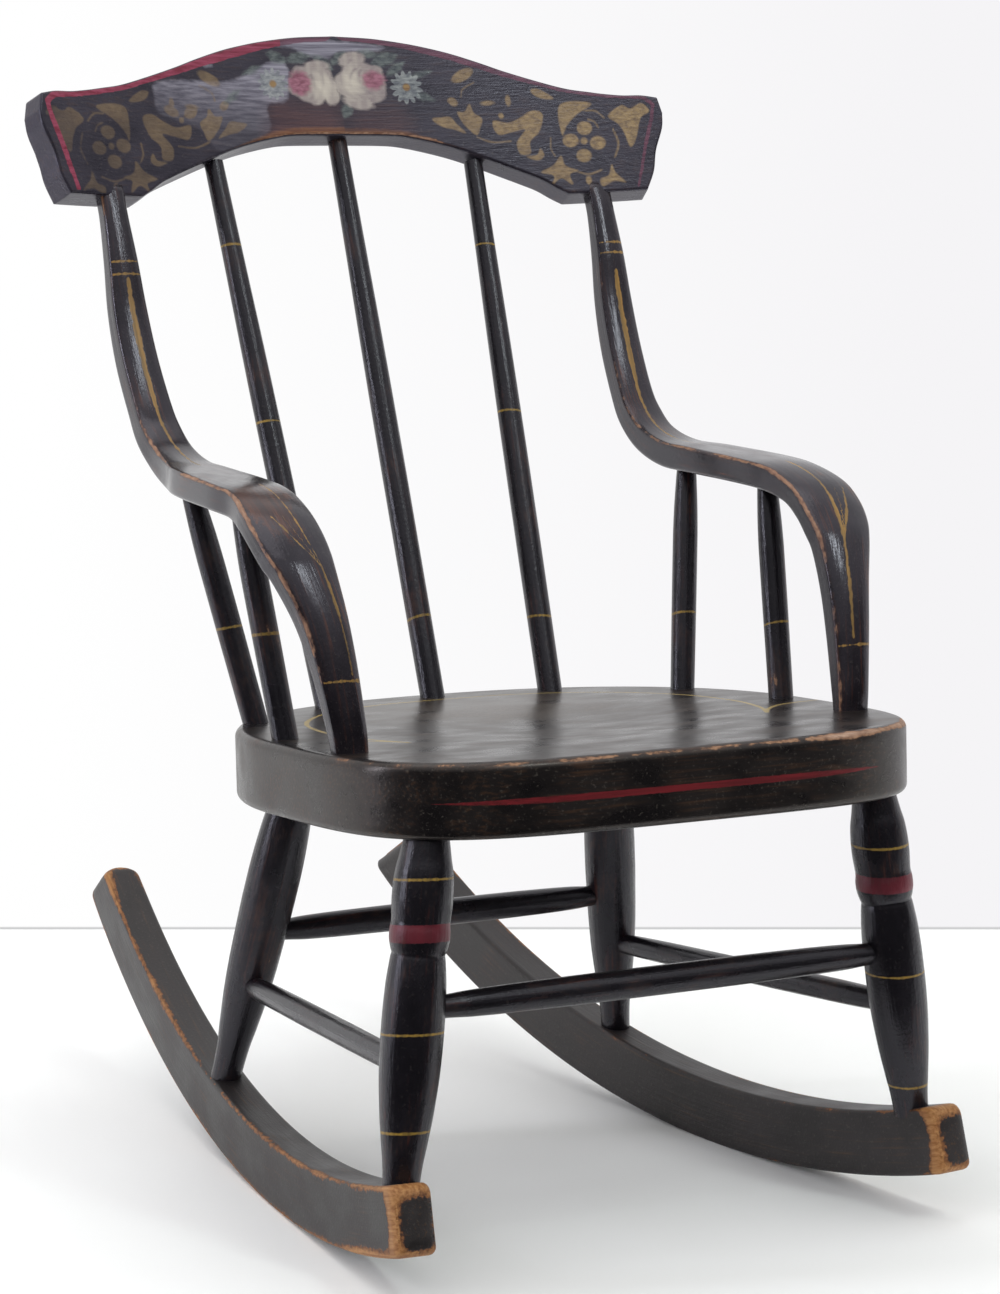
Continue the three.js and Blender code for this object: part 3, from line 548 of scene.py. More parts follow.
# A turning: a line whose radius follows the lathe's profile
def turningTree(kind):
    tree = bpy.data.node_groups.new(kind, "GeometryNodeTree")
    for name, socket in (
        ("From", "Vector"), ("To", "Vector"), ("Radius", "Float"), ("Steps", "Int"), ("Sides", "Int"),
        ("Paint", "Material"),
    ):
        tree.interface.new_socket(name, in_out="INPUT", socket_type="NodeSocket" + socket)
    tree.interface.new_socket("Turning", in_out="OUTPUT", socket_type="NodeSocketGeometry")
    given = addNode(tree, "NodeGroupInput").outputs
    line = addNode(tree, "GeometryNodeCurvePrimitiveLine", {"Start": given["From"], "End": given["To"]})
    stepped = addNode(tree, "GeometryNodeResampleCurve", {
        "Curve": line.outputs["Curve"], "Count": given["Steps"],
    })
    place = addNode(tree, "GeometryNodeSplineParameter").outputs["Factor"]
    profile = addNode(tree, "ShaderNodeFloatCurve", {"Value": place})
    curve = profile.mapping.curves[0]
    for spot, (share, radius) in enumerate(turnings[kind]["shape"]):
        if spot < 2:
            curve.points[spot].location = (share, radius / fullRadius(kind))
        else:
            curve.points.new(share, radius / fullRadius(kind))
    profile.mapping.update()
    ring = addNode(tree, "GeometryNodeCurvePrimitiveCircle", {
        "Resolution": given["Sides"], "Radius": 1.0,
    })
    skin = addNode(tree, "GeometryNodeCurveToMesh", {
        "Curve": stepped.outputs["Curve"], "Profile Curve": ring.outputs["Curve"], "Fill Caps": True,
        "Scale": reckoned(tree, "MULTIPLY", profile.outputs["Value"], given["Radius"]),
    })
    smooth = addNode(tree, "GeometryNodeSetShadeSmooth", {"Geometry": skin.outputs["Mesh"]})
    real = addNode(tree, "GeometryNodeRealizeInstances", {"Geometry": smooth.outputs["Geometry"]})
    painted = addNode(tree, "GeometryNodeSetMaterial", {
        "Geometry": real.outputs["Geometry"], "Material": given["Paint"],
    })
    addNode(tree, "NodeGroupOutput", {"Turning": painted.outputs["Geometry"]})
    return tree


# The finished mesh of a tree, as a plain piece
def bakeTree(name, tree, values):
    piece = newObject(name, bpy.data.meshes.new(name))
    modifier = piece.modifiers.new("lathe", "NODES")
    modifier.node_group = tree
    for socket in tree.interface.items_tree:
        if socket.in_out == "INPUT":
            modifier[socket.identifier] = values[socket.name]
    evaluated = piece.evaluated_get(bpy.context.evaluated_depsgraph_get())
    mesh = bpy.data.meshes.new_from_object(evaluated)
    piece.modifiers.remove(modifier)
    piece.data = mesh
    mesh.name = name
    return piece


def makeTurning(node, kind, tree, material, number):
    size = turnings[kind]
    low, high = axisEnds(node)
    run = (high - low) / np.linalg.norm(high - low)
    start = low + run * (size["tenons"][0] - turned["runIn"]) * mm
    stop = high - run * (size["tenons"][1] - turned["runIn"]) * mm
    piece = bakeTree(node + "_turned", tree, {
        "From": start.tolist(), "To": stop.tolist(), "Paint": material,
        "Radius": fullRadius(kind) * mm, "Steps": turned["steps"], "Sides": size["sides"],
    })
    spots = np.array([corner.co for corner in piece.data.vertices]) - low
    along = spots @ run / mm - size["tenons"][0]
    beside = np.cross(run, [0.31, 0.95, 0.05])  # any way that no turning runs
    beside /= np.linalg.norm(beside)
    across = np.stack([spots @ beside, spots @ np.cross(run, beside)], 1) / mm
    giveGrain(piece, along, *across.T, number * turned["grainShift"])
    lean = across @ turned["ringLean"] * (1 if number % 2 else -1)
    for key in ("yellow", "red"):
        marks = np.atleast_1d(turned[key].get(node, 1e3))
        giveLine(piece, key, besideMarks(along + lean, marks), turned[key + "Half"])
    giveField(piece, "bare", np.full(len(along), turned["wornBack"]))
    settle(piece, node)


def makeTurnings():
    material = turningPaint()
    kinds = {}
    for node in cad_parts:
        kind = "_".join(node.split("_")[:2])
        kind = "cross_stretcher" if kind in ("front_stretcher", "rear_stretcher") else kind
        if kind in turnings:
            kinds[node] = kind
    trees = {kind: turningTree(kind) for kind in sorted(set(kinds.values()))}
    for number, node in enumerate(sorted(kinds)):
        makeTurning(node, kinds[node], trees[kinds[node]], material, number)
    print("turnings:", len(kinds))


# Rockers

rocker = {
    "radius": 775, "depth": 38.5, "thickness": 23.5, "spacing": 296, "toeIn": 6,
    "frontReach": 226, "tailReach": 399, "tailTopReach": 361, "tipRound": 9, "edgeRound": 2.2,
    "endRound": (7, 10.5),  # of its thickness, at the front and at the tail
    # more rounding of the arrises at the same ends, and how fast it fades away from them
    "cornerRound": (3.6, 3.0), "cornerFade": 12,
    "points": 320, "rows": 18, "wallSteps": 14, "crowding": 0.8, "grainShift": 3.1,
    "tipPoints": 12, "arcPoints": 240,
    # how far the paint is worn back from the outer and inner arrises, above and below
    "wear": {"outerTop": 1.7, "outerBottom": 2.3, "innerTop": -0.7, "innerBottom": -1.0},
    # more of that toward the front end and the tail, and how fast it fades away from them, at the
    # front above and below
    "frontMore": 3.0, "frontFade": (40, 75), "tailMore": 4.2, "tailFade": 22,
    # how far the sides are bare from the front end, and more at their top and bottom, and from the tail
    "frontWear": {"left": 12, "right": 8}, "frontFlare": 6, "tailWear": 3.5,
    # the paint left on the front end's face: its distance from left, right, top and bottom, how round
    # its corners are, and how deep into the end it reaches on its left and right halves
    "facePatch": (3.6, 0.8, 7.0, 4.5), "patchCorner": 6, "patchDepth": (1.8, 6),
}


def rockerCorner(radius, angle):
    return np.array([radius * math.sin(angle), rocker["radius"] - radius * math.cos(angle)])


# The corners of its two ends: front low, front high, tail low, tail high
def rockerCorners():
    outer = rocker["radius"]
    inner = outer - rocker["depth"]
    front = -math.asin(rocker["frontReach"] / outer)
    return [rockerCorner(outer, front), rockerCorner(inner, front),
            rockerCorner(outer, math.asin(rocker["tailReach"] / outer)),
            rockerCorner(inner, math.asin(rocker["tailTopReach"] / inner))]


def rockerHalves():
    frontLow, frontHigh, tailLow, tailHigh = rockerCorners()
    halves = []
    for radius, front, frontFar, tail, tailFar in (
        (rocker["radius"], frontLow, frontHigh, tailLow, tailHigh),
        (rocker["radius"] - rocker["depth"], frontHigh, frontLow, tailHigh, tailLow),
    ):
        turn = rocker["tipRound"] / radius
        first = math.asin(front[0] / radius) + turn
        last = math.asin(tail[0] / radius) - turn
        ends = []
        for corner, far, angle in ((front, frontFar, first), (tail, tailFar, last)):
            before = corner + (far - corner) * rocker["tipRound"] / np.linalg.norm(far - corner)
            after = rockerCorner(radius, angle)
            t = np.linspace(0, 1, rocker["tipPoints"])[:, None]
            bend = (1 - t) ** 2 * before + 2 * t * (1 - t) * corner + t ** 2 * after
            ends.append(np.vstack([(corner + far) / 2, bend]))
        angles = np.linspace(first, last, rocker["arcPoints"])
        arc = [rockerCorner(radius, angle) for angle in angles]
        line = np.vstack([ends[0], arc[1:-1], ends[1][::-1]])
        halves.append(evenly(line, rocker["points"], rocker["crowding"]))
    return halves


# How far points of the outline lie from the front end and from the tail's end
def fromEnds(flat):
    result = []
    frontLow, frontHigh, tailLow, tailHigh = rockerCorners()
    for low, high, sign in ((frontLow, frontHigh, 1), (tailLow, tailHigh, -1)):
        run = (high - low) / np.linalg.norm(high - low)
        away = flat - low
        result.append(np.maximum(sign * (away[:, 0] * run[1] - away[:, 1] * run[0]), 0))
    return result


def makeRocker(side, material):
    sign = sides[side]
    middle, toeIn = sign * rocker["spacing"] / 2, sign * rocker["toeIn"]
    half, depth = rocker["thickness"] / 2, rocker["depth"]

    def place(flat, inset, back):
        across = np.full(len(flat), half)
        for bend, away in zip(rocker["endRound"], fromEnds(flat)):
            near = bend - np.minimum(away, bend)
            across = across - bend + np.sqrt(bend ** 2 - near ** 2)
        x, y = spun((across - inset) * (1 if back else -1), flat[:, 0], toeIn)
        return np.stack([x + middle, y, flat[:, 1]], 1)

    low, high = rockerHalves()
    loop = joined(low, high)
    rounding = np.full(len(loop), rocker["edgeRound"])
    for more, away in zip(rocker["cornerRound"], fromEnds(loop)):
        rounding = rounding + more * np.exp(-away / rocker["cornerFade"]) * outwards(loop)[:, 1] ** 2
    spots, faces, flat = sawnPlank(low, high, rocker["rows"], rounding, rocker["wallSteps"], place)[:3]
    piece = makePiece("rocker_" + side + "_sawn", spots, faces, material)
    rise = rocker["radius"] - np.linalg.norm(flat - (0, rocker["radius"]), axis=1)
    along = np.arctan2(flat[:, 0], rocker["radius"] - flat[:, 1]) * rocker["radius"]
    across = spun(spots[:, 0] - middle, spots[:, 1], -toeIn)[0]
    giveGrain(piece, along, across, rise, sign * rocker["grainShift"])
    # Worn through along the arrises
    front, tail = fromEnds(flat)
    outer, upper = across * sign > 0, rise > depth / 2
    wear, (fadeTop, fadeBottom) = rocker["wear"], rocker["frontFade"]
    reach = np.where(outer, np.where(upper, wear["outerTop"], wear["outerBottom"]),
                     np.where(upper, wear["innerTop"], wear["innerBottom"]))
    reach = reach + rocker["frontMore"] * np.exp(-front / np.where(upper, fadeTop, fadeBottom))
    reach = reach + rocker["tailMore"] * np.exp(-tail / rocker["tailFade"])
    bare = np.maximum(half - np.abs(across), np.minimum(rise, depth - rise)) - reach
    # and at both ends, but for a patch of paint on the front end's face
    frontWear = rocker["frontWear"][side] + rocker["frontFlare"] * (2 * rise / depth - 1) ** 2
    bare = np.minimum(bare, np.minimum(front - frontWear, tail - rocker["tailWear"]))
    fromLeft, fromRight, fromTop, fromBottom = rocker["facePatch"]
    corner, (leftDepth, rightDepth) = rocker["patchCorner"], rocker["patchDepth"]
    wide = np.minimum(half + across - fromLeft, half - across - fromRight)
    tall = np.minimum(depth - rise - fromTop, rise - fromBottom)
    kept = corner - np.hypot(np.minimum(wide - corner, 0), np.minimum(tall - corner, 0))
    giveField(piece, "bare", np.where(front < np.where(across > 0, rightDepth, leftDepth), kept, bare))
    settle(piece, "rocker_" + side)


# Seat

seat = {
    "height": 280, "tilt": 3, "thickness": 41.5, "halfWidth": 179.5, "widestSet": -48.6,
    "frontReach": 169, "rearReach": 171.6, "frontSquareness": 4, "rearSquareness": 2.25, "edgeRound": 5,
    "dishDepth": 4, "dishWidth": 240, "dishLength": 200, "dishSet": -62,
    "points": 400, "rings": 120, "underRings": 13, "wallSteps": 12, "bends": 8,
    # how far the paint is worn back from the upper arris, more along the front and at its right
    # corner, and from the lower one. Then where the front's wear begins and is in full, and where
    # that corner's is across the seat and how far it reaches
    "wear": {"top": -1.2, "front": 0.9, "corner": 1.8, "bottom": -1.4},
    "wornFrom": -120, "wornFull": -180, "corner": (125, 65),
    "arrisInset": 2,  # arrises are measured from inside their rounding
    # the place rubbed by sitting: how far back, its radius, how fast it fades down the wall and to
    # what depth, and how far off it counts underneath
    "satSet": 10, "satRadius": 60, "satFade": 12, "satDepth": 9, "satUnder": 200,
    "frontWall": -130, "stripeDepth": 21.5, "stripeFrom": -152, "stripeTo": 128, "stripeHalf": 1.8,
    # half of the pinstripe, from the middle of the back round to its point and out to the rim
    "pinstripe": [(0, 88), (48, 84), (93, 61), (124, 20), (134, -30), (128, -72), (116, -101)],
    "turnedOut": [(116, -101), (128, -84), (146, -70), (172, -64), (190, -63)],
    "pinstripeHalf": 1.35, "pinstripeFrom": -138, "pinstripeDepth": 6, "beyondRim": (260, 220),
}


def seatPlaced(x, y, below):
    back, down = spun(y, below, seat["tilt"])
    return np.stack([x, back, seat["height"] - down], 1)


def seatOutline():
    angles = np.arange(seat["points"]) * 2 * math.pi / seat["points"]
    rear = np.sin(angles) > 0
    power = 2 / np.where(rear, seat["rearSquareness"], seat["frontSquareness"])
    reach = np.where(rear, seat["rearReach"], seat["frontReach"])
    x, y = (np.sign(wave) * np.abs(wave) ** power for wave in (np.cos(angles), np.sin(angles)))
    line = np.stack([x * seat["halfWidth"], seat["widestSet"] + y * reach], 1)
    return evenly(closed(line), seat["points"] + 1)[:-1]


def dishAt(flat):
    x, y = flat.T
    out = np.hypot(x / (seat["dishWidth"] / 2), (y - seat["dishSet"]) / (seat["dishLength"] / 2))
    return np.where(out < 1, (1 - np.minimum(out, 1) ** 2) ** 2, 0) * seat["dishDepth"]


# Rings from the middle of its top, over the rim and on to the middle underneath. Returns their
# points in plan, how far below the top each lies, and the faces
def seatShell(outline):
    size, thickness, edge = len(outline), seat["thickness"], seat["edgeRound"]
    middle = np.array([[0, seat["widestSet"]]])
    inward = outwards(outline) * -edge
    inset = outline + inward
    rings = []
    for share in np.arange(1, seat["rings"]) / seat["rings"]:
        flat = middle + (inset - middle) * share
        rings.append((flat, dishAt(flat)))
    bends = np.linspace(0, math.pi / 2, seat["bends"])
    arris = [(outline + inward * (1 - math.sin(bend)), edge * (1 - math.cos(bend))) for bend in bends]
    rings += arris
    for share in np.arange(1, seat["wallSteps"]) / seat["wallSteps"]:
        rings.append((outline, edge + share * (thickness - 2 * edge)))
    rings += [(flat, thickness - below) for flat, below in arris[::-1]]
    for share in np.arange(seat["underRings"] - 1, 0, -1) / seat["underRings"]:
        rings.append((middle + (inset - middle) * share, thickness))
    faces = ringFaces(len(rings), size)
    last = (len(rings) - 1) * size
    for j in range(size):
        faces.append((last + size, (j + 1) % size, j))
        faces.append((last + size + 1, last + j, last + (j + 1) % size))
    flat = np.vstack([flat for flat, below in rings] + [middle, middle])
    below = [np.broadcast_to(below, size) for flat, below in rings]
    return flat, np.concatenate(below + [dishAt(middle), [thickness]]), faces


def makeSeat():
    outline = seatOutline()
    flat, below, faces = seatShell(outline)
    x, y = flat.T
    piece = makePiece("seat_plank", seatPlaced(x, y, below), faces, seatPaint())
    giveGrain(piece, x, y, -below)
    # Worn through along the arrises
    fromRim = np.maximum(distanceTo(closed(outline), flat) - seat["arrisInset"], 0)
    fromTop = np.maximum(np.minimum(below, seat["thickness"] - below) - seat["arrisInset"], 0)
    arris = np.hypot(fromRim, fromTop)
    front = np.clip((seat["wornFrom"] - y) / (seat["wornFrom"] - seat["wornFull"]), 0, 1)
    upper = below < seat["thickness"] / 2
    wear = seat["wear"]
    reach = wear["top"] + wear["front"] * front + wear["corner"] * front * hump(x, *seat["corner"])
    giveField(piece, "bare", arris - np.where(upper, reach, wear["bottom"]))
    # The pinstripe parts the seat's middle and front from a band round its sides and back
    middle, end = (smoothLine(seat[key], np.linspace(0, 1, 50)) for key in ("pinstripe", "turnedOut"))
    right = np.vstack([middle, end[1:]])
    farX, farY = seat["beyondRim"]
    parting = np.vstack([right[::-1] * (-1, 1), right[1:], [(farX, farY), (-farX, farY)]])
    onTop = (below < seat["pinstripeDepth"]) & (x > seat["pinstripeFrom"])
    half = np.where(onTop, seat["pinstripeHalf"], noLine)
    giveLine(piece, "pinstripe", outsideOf(parting, flat, margin=30), half)
    # The red line along the front wall, thinner toward its ends
    start, stop = seat["stripeFrom"], seat["stripeTo"]
    share = np.abs(x - (stop + start) / 2) / ((stop - start) / 2)
    half = seat["stripeHalf"] * (1 - 1.2 * np.clip(share, 0, 1.3) ** 5)
    giveLine(piece, "red", below - seat["stripeDepth"], np.where(y < seat["frontWall"], half, noLine))
    fromSat = np.where(upper, np.hypot(x, y - seat["satSet"]) - seat["satRadius"], seat["satUnder"])
    giveField(piece, "sat", fromSat + seat["satFade"] * np.minimum(below, seat["satDepth"]))
    settle(piece, "seat")
    print("seat:", len(faces), "faces")


# Arms

arm = {
    "depth": 323, "height": 298.6, "footSet": -124, "footSpacing": 323, "bow": 15,
    "width": 42, "side": 16, "crown": 9, "crownPower": 2.4, "cornerRound": 2.5, "arrisRound": 2.2,
    "lookAhead": 1 / 36,  # how far on either side its slope is taken
    "stations": 300, "runIn": 4, "grainShift": 2.3,
    # points round the section: on a back corner, as shares of the way up a side, on an arris, over
    # the face and along the back. And the most of a side that the arris may take
    "cornerPoints": 5, "sideShares": (0.8, 0.6, 0.4), "arrisPoints": 7, "facePoints": 39,
    "backPoints": 8, "arrisMost": 0.3,
    # shares of: bow, depth, height
    "path": [
        (0, 0, 0), (0.06, 0.005, 0.046), (0.28, 0.029, 0.156), (0.5, 0.056, 0.242), (0.8, 0.093, 0.32),
        (0.93, 0.121, 0.357), (1, 0.159, 0.394), (1, 0.209, 0.427), (0.87, 0.285, 0.4525),
        (0.83, 0.384, 0.4625), (0.65, 0.57, 0.471), (0.4, 0.6625, 0.476), (0.3, 0.74, 0.4975),
        (0.32, 0.796, 0.5345), (0.35, 0.831, 0.578), (0.44, 0.882, 0.67), (0.5, 0.921, 0.766),
        (0.53, 0.949, 0.863), (0.55, 0.981, 0.953), (0.55, 1, 1),
    ],
    # at the same places, shares of: width, side, crown
    "section": [
        (0.48, 0.55, 0.3), (0.5, 0.65, 0.4), (0.58, 0.76, 0.45), (0.67, 0.8, 0.45), (0.83, 0.8, 0.45),
        (0.94, 0.78, 0.42), (0.98, 0.77, 0.38), (0.96, 0.82, 0.3), (0.9, 0.93, 0.2), (0.94, 0.96, 0.12),
        (0.83, 1, 0.1), (0.67, 1, 0.1), (0.6, 0.98, 0.12), (0.6, 0.95, 0.15), (0.57, 0.93, 0.2),
        (0.55, 0.94, 0.28), (0.52, 0.85, 0.3), (0.45, 0.77, 0.3), (0.38, 0.7, 0.25), (0.38, 0.7, 0.2),
    ],
    # gilt lines on the face. bands: places along the arm in millimetres. The rest: place along,
    # place across toward the sitter, and half the width
    "bands": {"left": (39, 449, 457), "right": (38, 458, 465)}, "bandHalf": 0.55,
    "post": ((275, 1.5, 0.4), (330, 0.5, 0.8), (368, 0, 1.1), (382, 0, 1.5), (405, 0, 1.9),
             (430, 0, 1.7), (446, 0, 0.9), (449, 0, -2)),
    "stem": ((40, 2, -1), (43, 2, 0.7), (105, 3.5, 1.0), (130, 2, 0.8), (178, 0, 0.5), (200, 0, -1)),
    "branch": ((98, 3.5, -1), (104, 3, 0.8), (122, -5, 0.9), (140, -11, 0.6), (144, -12, -1)),
    # how far the fork lies toward the sitter, and how broad it is, by side
    "fork": {"left": (4, 0.4), "right": (0, 1)},
    # how far the paint is worn back from the arrises, more where the hand grips and at the elbow,
    # each with its place along and its reach, and more along the arris toward -X
    "wear": -1.2, "leftMore": 0.6, "backLess": 2.0, "backBelow": -4, "arrisInset": 0.8,
    "gripMore": 1.4, "grip": (150, 100), "elbowMore": 1.1, "elbow": (320, 40),
    # the place rubbed thin by the hand: place along and across, how much longer than wide, half its
    # width by side, and how much less there is off the face, which is what rises above the arrises
    "rubbed": (160, -5, 2.2), "rubbedHalf": {"left": 15, "right": 2}, "rubbedLess": 9.0,
    "faceAbove": 0.05,
}


# Places across the section and up from its arris, in the order round it
def armRing(half, side, crown):
    corner, power = arm["cornerRound"], arm["crownPower"]
    bends = np.linspace(0, math.pi / 2, arm["cornerPoints"])
    right = [(half - corner * (1 - math.sin(b)), corner * (1 - math.cos(b)) - side) for b in bends]
    right += [(half, (corner - side) * share) for share in arm["sideShares"]]
    worn = min(arm["arrisRound"], arm["arrisMost"] * side)
    inner = 1 - worn / half
    rise = crown * (1 - inner ** power)
    for t in np.linspace(0, 1, arm["arrisPoints"])[:-1]:
        right.append((half - t ** 2 * worn, -(1 - t) ** 2 * worn + t ** 2 * rise))
    overFace = np.linspace(inner, -inner, arm["facePoints"])
    face = [(half * x, crown * (1 - abs(x) ** power)) for x in overFace]
    left = [(-x, y) for x, y in right[::-1]]
    alongBack = np.linspace(corner - half, half - corner, arm["backPoints"])
    bottom = [(x, -side) for x in alongBack[1:-1]]
    return np.array(right + face + left + bottom)


# The line up the middle of the right arm between its arrises, its slope and its section at each
# station. The two ends run on into the seat and the crest rail
def armStations():
    lift = seatPlaced(*np.array([[0.0], [arm["footSet"]], [0.0]]))[0, 2]
    rows = np.array(arm["path"]) * (arm["bow"], arm["depth"], arm["height"])
    rows += (arm["footSpacing"] / 2, arm["footSet"], lift)
    places = np.linspace(0, 1, arm["stations"])
    edge = smoothLine(rows, places)
    behind, ahead = (places + step for step in (-arm["lookAhead"], arm["lookAhead"]))
    run = (smoothLine(rows, ahead) - smoothLine(rows, behind))[:, 1:]
    run /= np.linalg.norm(run, axis=1)[:, None]
    section = smoothLine(np.array(arm["section"]) * (arm["width"], arm["side"], arm["crown"]), places)
    first, last = (end + (end - before) / np.linalg.norm(end - before) * arm["runIn"]
                   for end, before in ((edge[0], edge[1]), (edge[-1], edge[-2])))
    run, section = (np.pad(part, ((1, 1), (0, 0)), "edge") for part in (run, section))
    return np.vstack([first, edge, last]), run, section


# The place beside the nearest of some gilt lines, and half its width there
def armLine(keys, along, inward, shift=0, share=1):
    beside, half = np.full(len(along), farOff), np.full(len(along), noLine)
    for key in keys:
        marks, middles, halves = np.array(arm[key], float).T
        there = np.interp(along, marks, halves, left=noLine, right=noLine)
        there = np.where(there > 0, there * share, there)
        off = inward - shift - np.interp(along, marks, middles)
        better = (there > -1) & (np.abs(off) - there < np.abs(beside) - half)
        beside, half = np.where(better, off, beside), np.where(better, there, half)
    return beside, half


def makeArm(side, material):
    sign = sides[side]
    edge, run, section = armStations()
    lengths = lengthAlong(edge) - arm["runIn"]
    rings = []
    for (x, y, z), (runY, runZ), (wide, deep, crown), length in zip(edge, run, section, lengths):
        across, rise = armRing(wide / 2, deep, crown).T
        spots = np.stack([sign * x + across, y - runZ * rise, z + runY * rise], 1)
        arris = np.hypot(wide / 2 - np.abs(across), np.minimum(rise, 0)) - arm["arrisInset"]
        rings.append((spots, np.full(len(rise), length), across, rise, arris))
    size = len(spots)
    faces = ringFaces(len(rings), size)
    faces += [tuple(range(size)), tuple(range((len(rings) - 1) * size, len(rings) * size))]
    spots, along, across, rise, arris = (np.concatenate(part) for part in zip(*rings))
    piece = makePiece("arm_" + side + "_shaped", spots, faces, material)
    giveGrain(piece, along, across, rise, sign * arm["grainShift"])
    inward = sign * -across
    onFace = rise > arm["faceAbove"]
    half = np.where(onFace, arm["bandHalf"], noLine)
    giveLine(piece, "bands", besideMarks(along, arm["bands"][side]), half)
    for field, keys, fit in (("post", ["post"], ()), ("fork", ["stem", "branch"], arm["fork"][side])):
        beside, half = armLine(keys, along, inward, *fit)
        giveLine(piece, field, beside, np.where(onFace, half, noLine))
    # Worn through along the arrises, least on the back
    reach = arm["wear"] + np.where(across < 0, arm["leftMore"], 0.0)
    for place in ("grip", "elbow"):
        reach = reach + arm[place + "More"] * hump(along, *arm[place])
    less = np.where(rise < arm["backBelow"], arm["backLess"], 0.0)
    giveField(piece, "bare", np.abs(arris) - reach + less)
    # and rubbed thin on the face where the hand lies
    place, middle, stretch = arm["rubbed"]
    worn = np.hypot((along - place) / stretch, inward - middle) - arm["rubbedHalf"][side]
    giveField(piece, "rubbed", worn + np.where(onFace, 0.0, arm["rubbedLess"]))
    settle(piece, "arm_" + side)


# Crest rail

crest = {
    "set": 228.8, "height": 620, "rake": 15.7, "cutAngle": 23.7, "radius": 703, "footThickness": 20,
    "topThickness": 14.7, "width": 432, "rise": 64.5, "drop": 45, "edgeRound": 1.3,
    "points": 400, "rows": 88, "wallSteps": 8,
    "meetShare": 0.4,  # how far down its end, as a share of the drop, the outline's halves meet
    "search": (-80.0, 80.0), "halvings": 40,  # where a face is looked for, and how closely
    # right half of the outline, in shares of half the width and of the rise or the drop
    "top": [
        (0.991, 0.181), (0.94, 0.224), (0.88, 0.246), (0.819, 0.284), (0.773, 0.319), (0.708, 0.37),
        (0.63, 0.46), (0.519, 0.601), (0.454, 0.692), (0.375, 0.792), (0.31, 0.858), (0.227, 0.923),
        (0.12, 0.978), (0, 1),
    ],
    "arch": [
        (0, 0.002), (0.144, 0.017), (0.211, 0.06), (0.292, 0.16), (0.356, 0.261), (0.421, 0.391),
        (0.486, 0.532), (0.551, 0.678), (0.593, 0.781), (0.63, 0.905), (0.664, 1.007),
    ],
    "end": [(0.912, 1.068), (0.942, 0.803), (0.96, 0.506), (0.991, 0.194), (1, -0.02)],
    "endStripe": [(190, -52), (191.5, -44), (200, -20), (207.5, -2), (210, 7)],
    # half the width of the stripe along the top, left and right: at its ends, more where it is
    # broadest, where that is and how far it reaches. Then how far in from the edge it lies, where it
    # turns down the ends, half its width there, and how far down it goes
    "topStripes": ((1.5, 1.4, -75, 36), (0.8, 1.3, 80, 60)), "stripeInset": 0.7,
    "stripeTurn": 196, "endHalf": (2.0, 1.2), "stripeFoot": -46,
    "redTo": -36, "mauveFrom": -46,  # it fades from red to mauve on the right
    # the arch's worn middle, and how far the paint is worn back from arrises there and elsewhere
    "archMiddle": (2, 66, 4), "archNear": 12, "archWear": (-1.1, 1.7), "wear": -1.5, "backLess": 2.5,
    # how thin the thin places are on the left and right, with more of it near the arch, and how high
    # the arch's brown glow reaches on the left and right
    "thinness": (0.6, 0.3), "nearArch": (0.3, 8), "glow": (5.6, 4.6), "glowMiddle": (-2, 66, 4),
    # places scuffed to a grey bloom, which also carry a painted sheen of reflected light: the first
    # on the left, the second along the top middle
    "scuffsAndSheen": (
        [(-128, 27), (-110, 30.5), (-80, 31.5), (-65, 36), (-52, 43), (-40, 47), (-33, 42), (-36, 22),
         (-50, 18), (-50, 2), (-70, -8), (-88, -12), (-98, 0), (-114, 4), (-127, 9), (-129, 18)],
        [(-42, 57), (-30, 60), (0, 61), (34, 57), (22, 54), (4, 54), (-5, 50), (-18, 51), (-30, 56)],
    ),
    "scratches": (
        [(-91, 41), (-86, 41.5)], [(-80, 19), (-72, 25)], [(-76, 18), (-70, 21)], [(-96, 29), (-84, 22)],
    ),
    "scratchHalf": 0.7,
    # the bloom and its painted sheen at a line that falls to the right, how much more of it there is
    # at a height above that, and its limits
    "bloomAndSheen": {"atLine": 0.2, "more": 0.55, "height": 30, "line": 6, "fall": 0.12, "limits": (0.12, 0.8)},
    "keptFrom": -12, "keptFall": 0.12, "glowInset": 2,
    # and places where the paint is thin over the arch
    "thinPlaces": (
        [(-49, 21), (-48, -14), (-2, -14), (-2, 13), (-7, 18), (-26, 21)],
        [(9, 15), (41, 16), (43, -14), (8, -14)],
    ),
}


# Right half of a part of the outline, scaled by the rise or the drop
def crestLine(key, height, steps=120):
    return smoothLine(np.array(crest[key]) * (crest["width"] / 2, height), np.linspace(0, 1, steps))


def crestHalves():
    top = crestLine("top", crest["rise"])
    arch, end = crestLine("arch", -crest["drop"]), crestLine("end", -crest["drop"])
    middle = np.argmin(np.abs(end[:, 1] + crest["drop"] * crest["meetShare"]))
    halves = []
    for line in (np.vstack([arch, end[:middle + 1]]), np.vstack([top[::-1], end[middle:][::-1]])):
        right = evenly(line, crest["points"] // 2)
        halves.append(np.vstack([right[1:][::-1] * (-1, 1), right]))
    return halves


